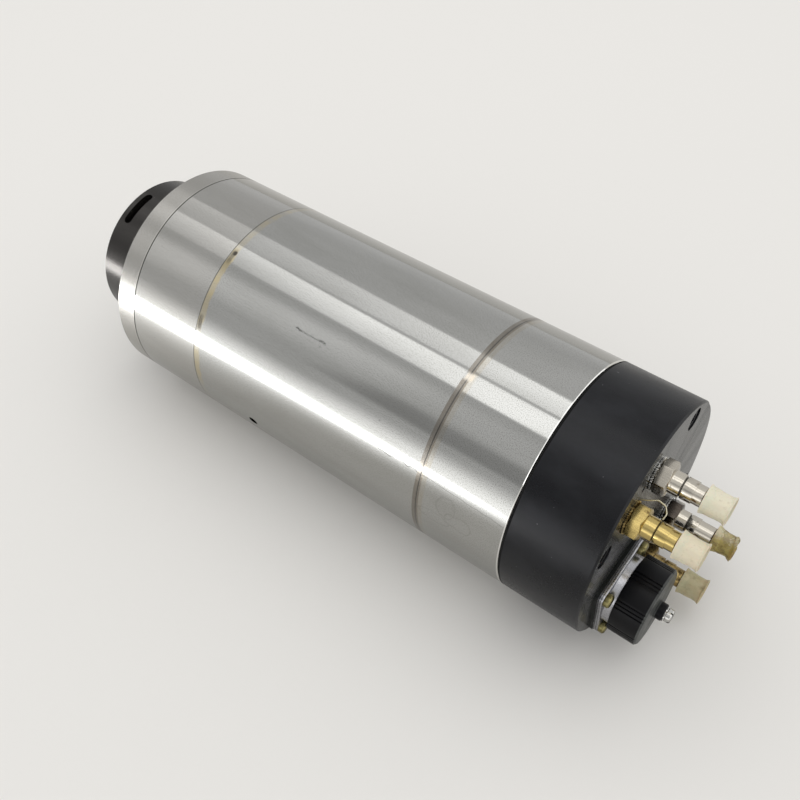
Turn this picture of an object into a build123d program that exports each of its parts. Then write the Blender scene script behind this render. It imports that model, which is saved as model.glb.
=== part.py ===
from build123d import *
import os
from math import cos, degrees, radians, sin, tan

# Air-clamped high-frequency motor spindle, in millimetres. The spindle axis is X, with the
# nose towards -X and the hose and cable connections towards +X. X = 0 is the steel front face.

# ---- Housing: lengths along the axis, and radii ----
BODY_R = 50.0
FRONT_COVER_L = 10.6
FRONT_HOUSING_L = 38.3
REAR_HOUSING_L = 38.2
REAR_COVER_L = 34.3
JACKET_WALL = 5.0
SPIGOT_L = 6.0
SPIGOT_WALL = 7.0
JOINT_CHAMFER = 0.3
REAR_RIM_CHAMFER = 0.8
COVER_WALL = 10.5
COVER_END_WALL = 6.0

# ---- Nose ring: a skirt round the shaft nose, let into the front cover ----
NOSE_RING_R = 34.9
NOSE_RING_REACH = 28.1
NOSE_RING_WALL = 6.4
NOSE_RIM_CHAMFER = 0.6
NOSE_FLOOR_T = 11.0
NOSE_RECESS = 3.0
NOSE_RECESS_GAP = 1.1
NOSE_SLOT_W = 4.0
NOSE_SLOT_SPAN = 30.0
NOSE_SLOT_SETBACK = 5.3
NOSE_SLOT_COUNT = 3
NOSE_SLOT_ANGLE = 109.0
CUT_MARGIN = 1.0

# ---- Shaft ----
NOSE_REACH = 20.0
NOSE_R = 16.0
NOSE_CHAMFER = 0.8
SPANNER_HOLE_R = 0.8
SPANNER_HOLE_DEPTH = 4.0
COLLAR_R = 19.5
SHAFT_BORE_R = 8.05
DRAWBAR_BORE_R = 4.5
SPRING_BORE_R = 10.25
SHAFT_RUN_GAP = 0.3
SHAFT_TAIL = 2.0
CONE_MOUTH_R = 13.0
CONE_HALF_ANGLE = 8.0
CONE_DEPTH = 22.0
GUIDE_L = 58.0

# ---- Bearings: two angular-contact rows in front, one behind ----
FRONT_BORE_R = 17.5
FRONT_OUTER_R = 31.0
FRONT_BEARING_W = 14.0
FRONT_BALL_R = 3.9
FRONT_LIP = 4.0
SPACER_L = 4.0
REAR_BORE_R = 15.0
REAR_OUTER_R = 27.5
REAR_BEARING_W = 13.0
REAR_BALL_R = 3.5
BALLS_PER_ROW = 8
RING_WALL_SHARE = 0.3
BALL_PLAY = 0.08
CAGE_SETBACK = 1.0
CAGE_T_SHARE = 0.35
PRELOAD_SPACE = 2.0
PRELOAD_T = 1.2
NUT_L = 6.0
NUT_WALL = 6.0
NUT_NOTCHES = 4
NUT_NOTCH_R = 1.8
BEARING_SETBACK = 5.4

# ---- Motor ----
CORE_L = 78.0
CORE_SETBACK = 23.1
CORE_REAR_SPACE = 19.6
AIR_GAP = 0.5
STATOR_BORE_SHARE = 0.59
END_RING_L = 4.0
STATOR_SLOTS = 12
SLOT_W = 6.0
BACK_IRON = 5.1
SLOT_LIP = 2.0
SLOT_MOUTH_W = 2.4
END_TURN_L = 9.0
END_TURN_OVERHANG = 1.0
INSULATION = 0.2
END_TURN_GAP = 1.0
END_RING_STEP = 0.2

# ---- Cooling sleeve ----
SLEEVE_T = 6.9
SLEEVE_FIT = 0.05
CHANNELS = 6
CHANNEL_W = 9.0
CHANNEL_DEPTH = 3.2
PASSAGE_R = 1.2
PASSAGE_ANGLE = 90.0
HALF_TURN = 180.0
SEAL_W = 2.4
SEAL_SETBACK = 5.0

# ---- Clamping mechanism ----
TOOL_R = 5.0
COLLET_PROUD = 1.0
COLLET_CHAMFER = 0.6
COLLET_BORE_L = 31.0
COLLET_TAIL_L = 24.0
COLLET_SLOTS = 4
COLLET_SLOT_W = 1.0
COLLET_SLOT_L = 27.0
SLIDE_FIT = 0.05
DRAWBAR_R = 4.0
DRAWBAR_THREAD_L = 12.0
DRAWBAR_HEAD_R = 9.5
DRAWBAR_HEAD_L = 14.0
DRAWBAR_PROUD = 1.0
DRAWBAR_END_SETBACK = 1.0
DRAWBAR_HEAD_CHAMFER = 1.0
DISC_COUNT = 12
DISC_T = 1.2
DISC_CONE = 2.0
DISC_GAP = 0.25
DISC_SIDE_PLAY = 0.3

# ---- Release cylinder ----
CYL_WALL = 6.0
CYL_PIPE_GAP = 1.5
CYL_FRONT_T = 6.0
CYL_DEPTH = 20.0
CYL_LET_IN = 7.8
CYL_FLANGE_T = 6.0
CYL_HEAD_T = 5.0
PISTON_T = 8.0
PISTON_REAR_GAP = 1.0
PUSHER_R = 8.0
PUSHER_GAP = 1.0
PISTON_FIT = 0.1
PISTON_SEAL_W = 2.4
PISTON_SEAL_DEPTH = 2.0
PISTON_SEAL_FIT = 0.05
RETURN_DISCS = 4
RETURN_T = 0.9
RETURN_RIM_GAP = 4.0
RETURN_HOLE_PLAY = 1.0
RETURN_GAP = 0.1

# ---- Screws ----
M5_R = 2.5
M5_CLEAR_R = 2.75
M5_HEAD_R = 4.25
M5_HEAD_L = 5.0
M5_SINK_R = 4.7
M5_SINK_L = 5.6
M5_EDGE = 6.7
M4_R = 2.0
M4_CLEAR_R = 2.25
M4_HEAD_R = 3.5
M4_HEAD_L = 4.0
M4_SINK_R = 3.75
M4_SINK_L = 4.4
M3_R = 1.5
M3_HEAD_R = 2.75
M3_HEAD_L = 2.4
M3_HEAD_CHAMFER = 0.6
HEX_SOCKET_SHARE = 0.6
TAP_RUN_OUT = 1.0
CYL_SCREWS = 4
CYL_SCREW_START = 60.0
FLANGE_SCREW_REACH = 8.0
HEAD_SCREW_REACH = 6.0
FRONT_SCREWS = 6
FRONT_SCREW_L = 16.0
NOSE_SCREWS = 6
NOSE_SCREW_R = 24.5
NOSE_SCREW_L = 12.0
REAR_SCREW_ANGLES = (60.0, 153.0, 262.0, 335.0)
REAR_SCREW_L = 42.0

# ---- Hose fittings ----
FITTING_SETBACK = 14.5
FITTING_THREAD_R = 4.86
FITTING_THREAD_L = 8.0
FITTING_BORE_R = 1.6
BOSS_R = 7.0
BOSS_L = 4.0
WASHER_R = 6.6
WASHER_T = 1.0
HEX_FLATS = 12.0
HEX_L = 5.0
HEX_FACE_SHARE = 0.96
HEX_BEVEL_ANGLE = 30.0
NUT_R = 4.3
NUT_FRONT_L = 4.0
NUT_REAR_L = 4.1
NUT_GROOVE = 0.6
NUT_REAR_STEP = 0.1
NECK_R = 3.8
NECK_L = 3.3
COOLANT_IN_NECK_L = 3.4
COOLANT_OUT_NECK_L = 1.0
NIPPLE_R = 3.0
NIPPLE_L = 7.5
CAP_MOUTH_R = 5.45
CAP_TIP_R = 5.3
CAP_L = 9.8
CAP_EDGE = 0.7
CAP_FIT = 0.08
# One row per fitting: name, angle round the axis, extra neck length.
FITTINGS = (
    ("sealing_air", 101.0, 0.0),
    ("release_air", 131.0, 0.0),
    ("coolant_in", 318.0, COOLANT_IN_NECK_L),
    ("coolant_out", 283.0, COOLANT_OUT_NECK_L),
)
PIPE_R = 2.0
PIPE_BORE_R = 1.2
PIPE_SEAT = 2.0

# ---- Connector ----
CONNECTOR_SETBACK = 22.0
CONNECTOR_ANGLE = 226.0
CONNECTOR_TURN = 10.0
FLANGE_SIDE = 31.0
FLANGE_CORNER = 2.5
GASKET_T = 1.3
GASKET_OVERLAP = 0.3
FLANGE_T = 2.2
FLANGE_CHAMFER = 0.3
SHELL_R = 14.3
SHELL_L = 3.0
CONNECTOR_THREAD_R = 13.5
CONNECTOR_THREAD_L = 9.0
CONNECTOR_BORE_R = 11.5
CONNECTOR_BODY_R = 12.0
CONNECTOR_BODY_L = 9.0
CONNECTOR_BODY_PLAY = 0.2
FLANGE_SCREW_PITCH = 25.4
INSERT_DEPTH = 7.5
PIN_R = 0.8
PIN_CIRCLE_R = 7.0
PIN_COUNT = 8
PIN_REACH = 5.0

# ---- Dust cap of the connector ----
DUST_CAP_R = 16.25
DUST_CAP_L = 12.0
DUST_CAP_GAP = 0.4
DUST_CAP_END = 2.4
DUST_CAP_FIT = 0.1
DUST_CAP_CHAMFER = 0.8
GRIP_GROUPS = 8
GRIP_GROOVES = 3
GRIP_PITCH = 5.5
GRIP_W = 0.6
GRIP_DEPTH = 0.5
CAP_GASKET_T = 0.8
CAP_GASKET_PLAY = 0.3
BUSH_R = 3.5
BUSH_L = 3.4
BUSH_CHAMFER = 0.4
SWIVEL_R = 3.2
SWIVEL_T = 0.8
SWIVEL_GAP = 0.1
CAP_SCREW_HEAD_R = 2.8
CAP_SCREW_HEAD_L = 2.0
CAP_SCREW_ROUND = 0.8
CAP_SCREW_SLOT_W = 0.7
CAP_SCREW_SLOT_DEPTH = 0.9

# ---- Small features of the housing ----
LOCATING_HOLE_R = 2.2
LOCATING_HOLE_DEPTH = 3.0
LOCATING_HOLE_SETBACK = 30.9
LOCATING_HOLE_ANGLE = 195.5
JACK_HOLE_R = 1.2
JACK_HOLE_DEPTH = 3.0
JACK_HOLE_SETBACK = 10.9
JACK_HOLE_ANGLE = 115.5

# ---- Wire hoop left on one fitting, hooked into the groove of its nut ----
WIRE_R = 0.3
WIRE_BEND_R = 1.5
WIRE_RISE = 2.8
WIRE_GAP = 0.05
WIRE_ANGLE = 36.0

# ---- Stations along the axis, from the front face backwards ----
X_COVER = FRONT_COVER_L
X_WELD_FRONT = X_COVER + FRONT_HOUSING_L
X_WELD_REAR = X_WELD_FRONT + CORE_SETBACK + CORE_L + CORE_REAR_SPACE
X_JOINT = X_WELD_REAR + REAR_HOUSING_L
X_REAR = X_JOINT + REAR_COVER_L
X_SPIGOT_FRONT = X_WELD_FRONT + SPIGOT_L
X_SPIGOT_REAR = X_WELD_REAR - SPIGOT_L
X_NOSE_RING = -NOSE_RING_REACH
X_NOSE_FLOOR = NOSE_RECESS - NOSE_FLOOR_T
X_BEARING_A = X_COVER + FRONT_LIP
X_BEARING_B = X_BEARING_A + FRONT_BEARING_W + SPACER_L
X_BEARING_B_END = X_BEARING_B + FRONT_BEARING_W
X_REAR_BEARING = X_WELD_REAR + BEARING_SETBACK
X_REAR_BEARING_END = X_REAR_BEARING + REAR_BEARING_W
X_REAR_NUT_END = X_REAR_BEARING_END + NUT_L
X_SHAFT_END = X_REAR_NUT_END + SHAFT_TAIL
X_CORE = X_WELD_FRONT + CORE_SETBACK
X_CORE_END = X_CORE + CORE_L
X_GUIDE_END = X_COVER + GUIDE_L - CONE_DEPTH
X_HEAD_REAR = X_SHAFT_END + DRAWBAR_PROUD
X_HEAD_FRONT = X_HEAD_REAR - DRAWBAR_HEAD_L
DISC_PITCH = DISC_T + DISC_CONE + DISC_GAP
X_DISCS = X_HEAD_FRONT - DISC_COUNT * DISC_PITCH
X_CYLINDER = X_JOINT - CYL_LET_IN
X_CYL_FLOOR = X_CYLINDER + CYL_FRONT_T
X_CYL_END = X_CYL_FLOOR + CYL_DEPTH
X_HEAD_END = X_CYL_END + CYL_HEAD_T
X_PISTON_END = X_CYL_END - PISTON_REAR_GAP
X_PISTON = X_PISTON_END - PISTON_T
X_INNER_END = X_REAR - COVER_END_WALL
X_BOSS = X_INNER_END - BOSS_L

# ---- Radii that follow from the fits ----
JACKET_BORE_R = BODY_R - JACKET_WALL
SPIGOT_R = JACKET_BORE_R
SLEEVE_R = JACKET_BORE_R - SLEEVE_FIT
STATOR_R = JACKET_BORE_R - SLEEVE_T
STATOR_BORE_R = STATOR_BORE_SHARE * STATOR_R
ROTOR_R = STATOR_BORE_R - AIR_GAP
SLOT_DEPTH = STATOR_R - BACK_IRON - STATOR_BORE_R - SLOT_LIP
COVER_CAVITY_R = BODY_R - COVER_WALL
FITTING_PCD_R = BODY_R - FITTING_SETBACK
CONNECTOR_R = BODY_R - CONNECTOR_SETBACK
JACK_HOLE_PCD_R = BODY_R - JACK_HOLE_SETBACK
CYL_OUTER_R = FITTING_PCD_R - PIPE_R - CYL_PIPE_GAP
CYL_BORE_R = CYL_OUTER_R - CYL_WALL
RETURN_R = CYL_BORE_R - RETURN_RIM_GAP
COVER_SCREW_R = BODY_R - M5_EDGE
COLLET_R = SHAFT_BORE_R - SLIDE_FIT
FRONT_RING_T = RING_WALL_SHARE * (FRONT_OUTER_R - FRONT_BORE_R)
REAR_RING_T = RING_WALL_SHARE * (REAR_OUTER_R - REAR_BORE_R)
FRONT_PITCH_R = (FRONT_BORE_R + FRONT_OUTER_R) / 2
REAR_PITCH_R = (REAR_BORE_R + REAR_OUTER_R) / 2


def ring(x_start, x_end, outer_r, inner_r=0.0, mode=Mode.ADD):
    """Add a plain ring or disc about the spindle axis to the part being built."""
    with BuildSketch(Plane.YZ.offset(x_start)) as section:
        Circle(outer_r)
        if inner_r > 0:
            Circle(inner_r, mode=Mode.SUBTRACT)
    extrude(section.sketch, amount=x_end - x_start, mode=mode)


def turned(*outline, mode=Mode.ADD):
    """Revolve a closed outline of (x, radius) points about the spindle axis."""
    with BuildSketch(Plane.XY) as profile:
        with BuildLine():
            Polyline(*outline, close=True)
        make_face()
    revolve(profile.sketch, axis=Axis.X, mode=mode)


def around(radius, angle, x=0.0, turn=0.0):
    """Return the plane at a radius and angle round the axis, facing +X, turned about its centre."""
    centre = (x, radius * cos(radians(angle)), radius * sin(radians(angle)))
    return Plane(origin=centre, x_dir=(0, cos(radians(turn)), sin(radians(turn))), z_dir=(1, 0, 0))


def circle_of(count, radius, start=0.0):
    """Return the angles and radius of a regular bolt circle as (radius, angle) pairs."""
    return [(radius, start + 360.0 * i / count) for i in range(count)]


def drill(places, x_start, x_end, radius, mode=Mode.SUBTRACT):
    """Cut (or add) a round hole from x_start to x_end at each (radius, angle) place."""
    for place_r, angle in places:
        with BuildSketch(around(place_r, angle, x_start)) as section:
            Circle(radius)
        extrude(section.sketch, amount=x_end - x_start, mode=mode)


def socket_screws(places, x_seat, thread_r, length, head_r, head_l, facing=1):
    """Add socket-head screws whose heads stand on x_seat and face +X (or -X) at each place."""
    for place_r, angle in places:
        drill([(place_r, angle)], x_seat, x_seat - facing * length, thread_r, Mode.ADD)
        drill([(place_r, angle)], x_seat, x_seat + facing * head_l, head_r, Mode.ADD)
        with BuildSketch(around(place_r, angle, x_seat + facing * head_l)) as socket:
            RegularPolygon(HEX_SOCKET_SHARE * head_r, 6)
        extrude(socket.sketch, amount=-facing * HEX_SOCKET_SHARE * head_l, mode=Mode.SUBTRACT)


def write(name, builder):
    """Label a finished piece and write its STEP file."""
    builder.part.label = name
    export_step(builder.part, f"parts/{name}.step")


os.makedirs("parts", exist_ok=True)

front_screw_places = circle_of(FRONT_SCREWS, COVER_SCREW_R, 180.0 / FRONT_SCREWS)
nose_screw_places = circle_of(NOSE_SCREWS, NOSE_SCREW_R)
rear_screw_places = [(COVER_SCREW_R, angle) for angle in REAR_SCREW_ANGLES]
fitting_places = [(FITTING_PCD_R, angle) for _, angle, _ in FITTINGS]
pipe_places = [(FITTING_PCD_R, angle) for name, angle, _ in FITTINGS if name != "release_air"]
flange_screw_places = circle_of(CYL_SCREWS, FITTING_PCD_R, CYL_SCREW_START)
head_screw_places = circle_of(CYL_SCREWS, CYL_BORE_R + CYL_WALL / 2)
air_place = [(FITTING_PCD_R, angle) for name, angle, _ in FITTINGS if name == "release_air"]

# ================= Nose =================
with BuildPart() as nose_ring:
    ring(X_NOSE_RING, NOSE_RECESS, NOSE_RING_R)
    ring(X_NOSE_RING, X_NOSE_FLOOR, NOSE_RING_R - NOSE_RING_WALL, mode=Mode.SUBTRACT)
    ring(X_NOSE_FLOOR, NOSE_RECESS, NOSE_R + SHAFT_RUN_GAP, mode=Mode.SUBTRACT)
    rims = nose_ring.edges().filter_by(GeomType.CIRCLE).group_by(Axis.X)[0]
    chamfer(rims, NOSE_RIM_CHAMFER)
    drill(nose_screw_places, X_NOSE_FLOOR, X_NOSE_FLOOR + M4_SINK_L, M4_SINK_R)
    drill(nose_screw_places, X_NOSE_FLOOR, NOSE_RECESS, M4_CLEAR_R)
    # Long slots through the skirt: an arc of the wall, closed by a round end at each side.
    x_slot = X_NOSE_RING + NOSE_SLOT_SETBACK
    slot_mid_r = NOSE_RING_R - NOSE_RING_WALL / 2
    slot_reach = NOSE_RING_WALL / 2 + CUT_MARGIN
    end_span = NOSE_SLOT_SPAN - degrees(NOSE_SLOT_W / NOSE_RING_R)
    for slot_number in range(NOSE_SLOT_COUNT):
        middle = NOSE_SLOT_ANGLE + slot_number * 360.0 / NOSE_SLOT_COUNT
        with BuildSketch(Plane.XY.rotated((middle - end_span / 2, 0, 0))) as slot_section:
            with Locations((x_slot, slot_mid_r)):
                Rectangle(NOSE_SLOT_W, 2 * slot_reach)
        revolve(slot_section.sketch, axis=Axis.X, revolution_arc=end_span, mode=Mode.SUBTRACT)
        for side in (-1, 1):
            angle = middle + side * end_span / 2
            direction = (0, cos(radians(angle)), sin(radians(angle)))
            inner = (slot_mid_r - slot_reach) * Vector(*direction) + Vector(x_slot, 0, 0)
            with BuildSketch(Plane(origin=inner, x_dir=(1, 0, 0), z_dir=direction)) as slot_end:
                Circle(NOSE_SLOT_W / 2)
            extrude(slot_end.sketch, amount=2 * slot_reach, mode=Mode.SUBTRACT)

with BuildPart() as nose_ring_screws:
    socket_screws(nose_screw_places, X_NOSE_FLOOR + M4_SINK_L, M4_R, NOSE_SCREW_L,
                  M4_HEAD_R, M4_HEAD_L, facing=-1)

with BuildPart() as front_cover:
    ring(0, X_COVER, BODY_R)
    chamfer(front_cover.edges().filter_by(GeomType.CIRCLE), JOINT_CHAMFER)
    ring(X_COVER, X_BEARING_A, FRONT_OUTER_R - SLIDE_FIT)
    ring(0, NOSE_RECESS, NOSE_RING_R + NOSE_RECESS_GAP, mode=Mode.SUBTRACT)
    ring(0, X_COVER, COLLAR_R + SHAFT_RUN_GAP, mode=Mode.SUBTRACT)
    ring(X_COVER, X_BEARING_A, FRONT_OUTER_R - FRONT_RING_T, mode=Mode.SUBTRACT)
    drill(front_screw_places, 0, M5_SINK_L, M5_SINK_R)
    drill(front_screw_places, 0, X_COVER, M5_CLEAR_R)
    drill(nose_screw_places, NOSE_RECESS, X_COVER, M4_R)

with BuildPart() as front_cover_screws:
    socket_screws(front_screw_places, M5_SINK_L, M5_R, FRONT_SCREW_L, M5_HEAD_R, M5_HEAD_L, facing=-1)

# ================= Welded steel body =================
with BuildPart() as front_housing:
    ring(X_COVER, X_WELD_FRONT, BODY_R)
    chamfer(front_housing.edges().filter_by(GeomType.CIRCLE).sort_by(Axis.X)[0], JOINT_CHAMFER)
    ring(X_WELD_FRONT, X_SPIGOT_FRONT, SPIGOT_R)
    ring(X_COVER, X_BEARING_B_END, FRONT_OUTER_R, mode=Mode.SUBTRACT)
    ring(X_BEARING_B_END, X_SPIGOT_FRONT, FRONT_OUTER_R - FRONT_RING_T, mode=Mode.SUBTRACT)
    drill(front_screw_places, X_COVER, M5_SINK_L + FRONT_SCREW_L + TAP_RUN_OUT, M5_R)

with BuildPart() as stator_jacket:
    ring(X_WELD_FRONT, X_WELD_REAR, BODY_R, JACKET_BORE_R)
    hole_angle = radians(LOCATING_HOLE_ANGLE)
    outwards = Vector(0, cos(hole_angle), sin(hole_angle))
    hole_floor = (BODY_R - LOCATING_HOLE_DEPTH) * outwards
    hole_floor += Vector(X_WELD_FRONT + LOCATING_HOLE_SETBACK, 0, 0)
    with BuildSketch(Plane(origin=hole_floor, x_dir=(1, 0, 0), z_dir=outwards)) as locating_hole:
        Circle(LOCATING_HOLE_R)
    extrude(locating_hole.sketch, amount=2 * LOCATING_HOLE_DEPTH, mode=Mode.SUBTRACT)

with BuildPart() as rear_housing:
    ring(X_WELD_REAR, X_JOINT, BODY_R)
    chamfer(rear_housing.edges().filter_by(GeomType.CIRCLE).sort_by(Axis.X)[-1], 2 * JOINT_CHAMFER)
    ring(X_SPIGOT_REAR, X_WELD_REAR, SPIGOT_R)
    ring(X_SPIGOT_REAR, X_REAR_BEARING - PRELOAD_SPACE, REAR_OUTER_R - REAR_RING_T, mode=Mode.SUBTRACT)
    ring(X_REAR_BEARING - PRELOAD_SPACE, X_CYLINDER, REAR_OUTER_R, mode=Mode.SUBTRACT)
    ring(X_CYLINDER, X_JOINT, CYL_OUTER_R + SLIDE_FIT, mode=Mode.SUBTRACT)
    drill(rear_screw_places, X_REAR - M5_SINK_L - REAR_SCREW_L - TAP_RUN_OUT, X_JOINT, M5_R)
    drill(pipe_places, X_JOINT - PIPE_SEAT, X_JOINT, PIPE_R)
    drill(pipe_places, X_SPIGOT_REAR, X_JOINT, PIPE_BORE_R)
    drill(flange_screw_places, X_JOINT - FLANGE_SCREW_REACH, X_JOINT, M3_R)

# ================= Cooling sleeve with ring channels, and its seals =================
sleeve_l = X_SPIGOT_REAR - X_SPIGOT_FRONT
channel_pitch = (sleeve_l - 4 * SEAL_SETBACK) / CHANNELS
seal_stations = [X_SPIGOT_FRONT + SEAL_SETBACK, X_SPIGOT_REAR - SEAL_SETBACK]
with BuildPart() as cooling_sleeve:
    ring(X_SPIGOT_FRONT, X_SPIGOT_REAR, SLEEVE_R, STATOR_R)
    for channel in range(CHANNELS):
        x_channel = X_SPIGOT_FRONT + 2 * SEAL_SETBACK + (channel + 0.5) * channel_pitch
        ring(x_channel - CHANNEL_W / 2, x_channel + CHANNEL_W / 2, SLEEVE_R,
             SLEEVE_R - CHANNEL_DEPTH, Mode.SUBTRACT)
        if channel > 0:
            # The passage to the channel before, on alternate sides, makes the water go all the way round.
            place = (SLEEVE_R - CHANNEL_DEPTH / 2, PASSAGE_ANGLE + HALF_TURN * (channel % 2))
            drill([place], x_channel - channel_pitch, x_channel, PASSAGE_R)
    for x_seal in seal_stations:
        ring(x_seal - SEAL_W / 2, x_seal + SEAL_W / 2, SLEEVE_R, SLEEVE_R - SEAL_W, Mode.SUBTRACT)

with BuildPart() as jacket_seals:
    for x_seal in seal_stations:
        ring(x_seal - SEAL_W / 2, x_seal + SEAL_W / 2, SLEEVE_R, SLEEVE_R - SEAL_W)

# ================= Motor =================
slot_middle_r = STATOR_BORE_R + SLOT_LIP + SLOT_DEPTH / 2
with BuildPart() as stator_core:
    with BuildSketch(Plane.YZ.offset(X_CORE)):
        Circle(STATOR_R)
        Circle(STATOR_BORE_R, mode=Mode.SUBTRACT)
        with PolarLocations(slot_middle_r, STATOR_SLOTS):
            Rectangle(SLOT_DEPTH, SLOT_W, mode=Mode.SUBTRACT)
        with PolarLocations(STATOR_BORE_R + SLOT_LIP / 2, STATOR_SLOTS):
            Rectangle(2 * SLOT_LIP, SLOT_MOUTH_W, mode=Mode.SUBTRACT)
    extrude(amount=CORE_L)

with BuildPart() as stator_windings:
    with BuildSketch(Plane.YZ.offset(X_CORE - END_TURN_L / 2)):
        with PolarLocations(slot_middle_r, STATOR_SLOTS):
            Rectangle(SLOT_DEPTH - 2 * INSULATION, SLOT_W - 2 * INSULATION)
    extrude(amount=CORE_L + END_TURN_L)
    end_turn_r = slot_middle_r - SLOT_DEPTH / 2 + INSULATION
    for x_end_turn in (X_CORE - END_TURN_GAP - END_TURN_L, X_CORE_END + END_TURN_GAP):
        ring(x_end_turn, x_end_turn + END_TURN_L, end_turn_r + SLOT_DEPTH + END_TURN_OVERHANG, end_turn_r)

with BuildPart() as rotor_core:
    ring(X_CORE, X_CORE_END, ROTOR_R, FRONT_BORE_R)

with BuildPart() as rotor_end_rings:
    ring(X_CORE - END_RING_L, X_CORE, ROTOR_R - END_RING_STEP, FRONT_BORE_R)
    ring(X_CORE_END, X_CORE_END + END_RING_L, ROTOR_R - END_RING_STEP, FRONT_BORE_R)

# ================= Shaft =================
X_CONE_END = CONE_DEPTH - NOSE_REACH


def cone_r(x):
    """Return the radius of the shaft's collet cone at a station along the axis."""
    return CONE_MOUTH_R - (x + NOSE_REACH) * tan(radians(CONE_HALF_ANGLE))


with BuildPart() as shaft:
    turned(
        (-NOSE_REACH, CONE_MOUTH_R), (-NOSE_REACH, NOSE_R - NOSE_CHAMFER),
        (-NOSE_REACH + NOSE_CHAMFER, NOSE_R),
        (NOSE_RECESS + SHAFT_RUN_GAP, NOSE_R), (NOSE_RECESS + SHAFT_RUN_GAP, COLLAR_R),
        (X_BEARING_A, COLLAR_R), (X_BEARING_A, FRONT_BORE_R), (X_REAR_BEARING, FRONT_BORE_R),
        (X_REAR_BEARING, REAR_BORE_R), (X_SHAFT_END, REAR_BORE_R), (X_SHAFT_END, SPRING_BORE_R),
        (X_DISCS, SPRING_BORE_R), (X_DISCS, DRAWBAR_BORE_R), (X_GUIDE_END, DRAWBAR_BORE_R),
        (X_GUIDE_END, SHAFT_BORE_R), (X_CONE_END, SHAFT_BORE_R), (X_CONE_END, cone_r(X_CONE_END)),
    )
    # Two holes in the rim of the nose take a pin spanner.
    rim_middle_r = (NOSE_R + CONE_MOUTH_R) / 2
    drill(circle_of(2, rim_middle_r), -NOSE_REACH, SPANNER_HOLE_DEPTH - NOSE_REACH, SPANNER_HOLE_R)

# ================= Bearings =================
def bearing_ring(x_start, width, outer_r, inner_r, pitch_r, groove_r):
    """Add a bearing ring between two radii, with a ball groove turned at the pitch circle."""
    ring(x_start, x_start + width, outer_r, inner_r)
    with BuildSketch(Plane.XY) as groove:
        with Locations((x_start + width / 2, pitch_r)):
            Circle(groove_r)
    revolve(groove.sketch, axis=Axis.X, mode=Mode.SUBTRACT)


def ball_row(x_middle, pitch_r, ball_r):
    """Add one row of balls on the pitch circle."""
    with Locations(Plane.YZ.offset(x_middle)):
        with PolarLocations(pitch_r, BALLS_PER_ROW):
            Sphere(ball_r)


def ball_cage(x_middle, width, pitch_r, ball_r):
    """Add a cage ring with a round radial pocket for each ball."""
    cage_t = CAGE_T_SHARE * ball_r
    ring(x_middle - width / 2, x_middle + width / 2, pitch_r + cage_t, pitch_r - cage_t)
    for _, angle in circle_of(BALLS_PER_ROW, pitch_r):
        direction = (0, cos(radians(angle)), sin(radians(angle)))
        root = Vector(x_middle, 0, 0) + (pitch_r - 2 * cage_t) * Vector(*direction)
        with BuildSketch(Plane(origin=root, x_dir=(1, 0, 0), z_dir=direction)) as pocket:
            Circle(ball_r + BALL_PLAY)
        extrude(pocket.sketch, amount=4 * cage_t, mode=Mode.SUBTRACT)


front_rows = (X_BEARING_A, X_BEARING_B)
front_middles = [x_row + FRONT_BEARING_W / 2 for x_row in front_rows]
rear_middle = X_REAR_BEARING + REAR_BEARING_W / 2

with BuildPart() as front_bearing_outer_rings:
    for x_row in front_rows:
        bearing_ring(x_row, FRONT_BEARING_W, FRONT_OUTER_R, FRONT_OUTER_R - FRONT_RING_T,
                     FRONT_PITCH_R, FRONT_BALL_R + BALL_PLAY)

with BuildPart() as front_bearing_inner_rings:
    for x_row in front_rows:
        bearing_ring(x_row, FRONT_BEARING_W, FRONT_BORE_R + FRONT_RING_T, FRONT_BORE_R,
                     FRONT_PITCH_R, FRONT_BALL_R + BALL_PLAY)

with BuildPart() as front_bearing_balls:
    for x_middle in front_middles:
        ball_row(x_middle, FRONT_PITCH_R, FRONT_BALL_R)

with BuildPart() as front_bearing_cages:
    for x_middle in front_middles:
        ball_cage(x_middle, FRONT_BEARING_W - 2 * CAGE_SETBACK, FRONT_PITCH_R, FRONT_BALL_R)

with BuildPart() as outer_spacer:
    ring(X_BEARING_B - SPACER_L, X_BEARING_B, FRONT_OUTER_R, FRONT_OUTER_R - FRONT_RING_T)

with BuildPart() as inner_spacer:
    ring(X_BEARING_B - SPACER_L, X_BEARING_B, FRONT_BORE_R + FRONT_RING_T, FRONT_BORE_R)

with BuildPart() as front_locknut:
    ring(X_BEARING_B_END, X_BEARING_B_END + NUT_L, FRONT_BORE_R + NUT_WALL, FRONT_BORE_R)
    notches = circle_of(NUT_NOTCHES, FRONT_BORE_R + NUT_WALL)
    drill(notches, X_BEARING_B_END, X_BEARING_B_END + NUT_L, NUT_NOTCH_R)

with BuildPart() as rear_bearing_outer_ring:
    bearing_ring(X_REAR_BEARING, REAR_BEARING_W, REAR_OUTER_R, REAR_OUTER_R - REAR_RING_T,
                 REAR_PITCH_R, REAR_BALL_R + BALL_PLAY)

with BuildPart() as rear_bearing_inner_ring:
    bearing_ring(X_REAR_BEARING, REAR_BEARING_W, REAR_BORE_R + REAR_RING_T, REAR_BORE_R,
                 REAR_PITCH_R, REAR_BALL_R + BALL_PLAY)

with BuildPart() as rear_bearing_balls:
    ball_row(rear_middle, REAR_PITCH_R, REAR_BALL_R)

with BuildPart() as rear_bearing_cage:
    ball_cage(rear_middle, REAR_BEARING_W - 2 * CAGE_SETBACK, REAR_PITCH_R, REAR_BALL_R)

with BuildPart() as rear_locknut:
    ring(X_REAR_BEARING_END, X_REAR_NUT_END, REAR_BORE_R + NUT_WALL, REAR_BORE_R)
    notches = circle_of(NUT_NOTCHES, REAR_BORE_R + NUT_WALL)
    drill(notches, X_REAR_BEARING_END, X_REAR_NUT_END, NUT_NOTCH_R)

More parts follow.
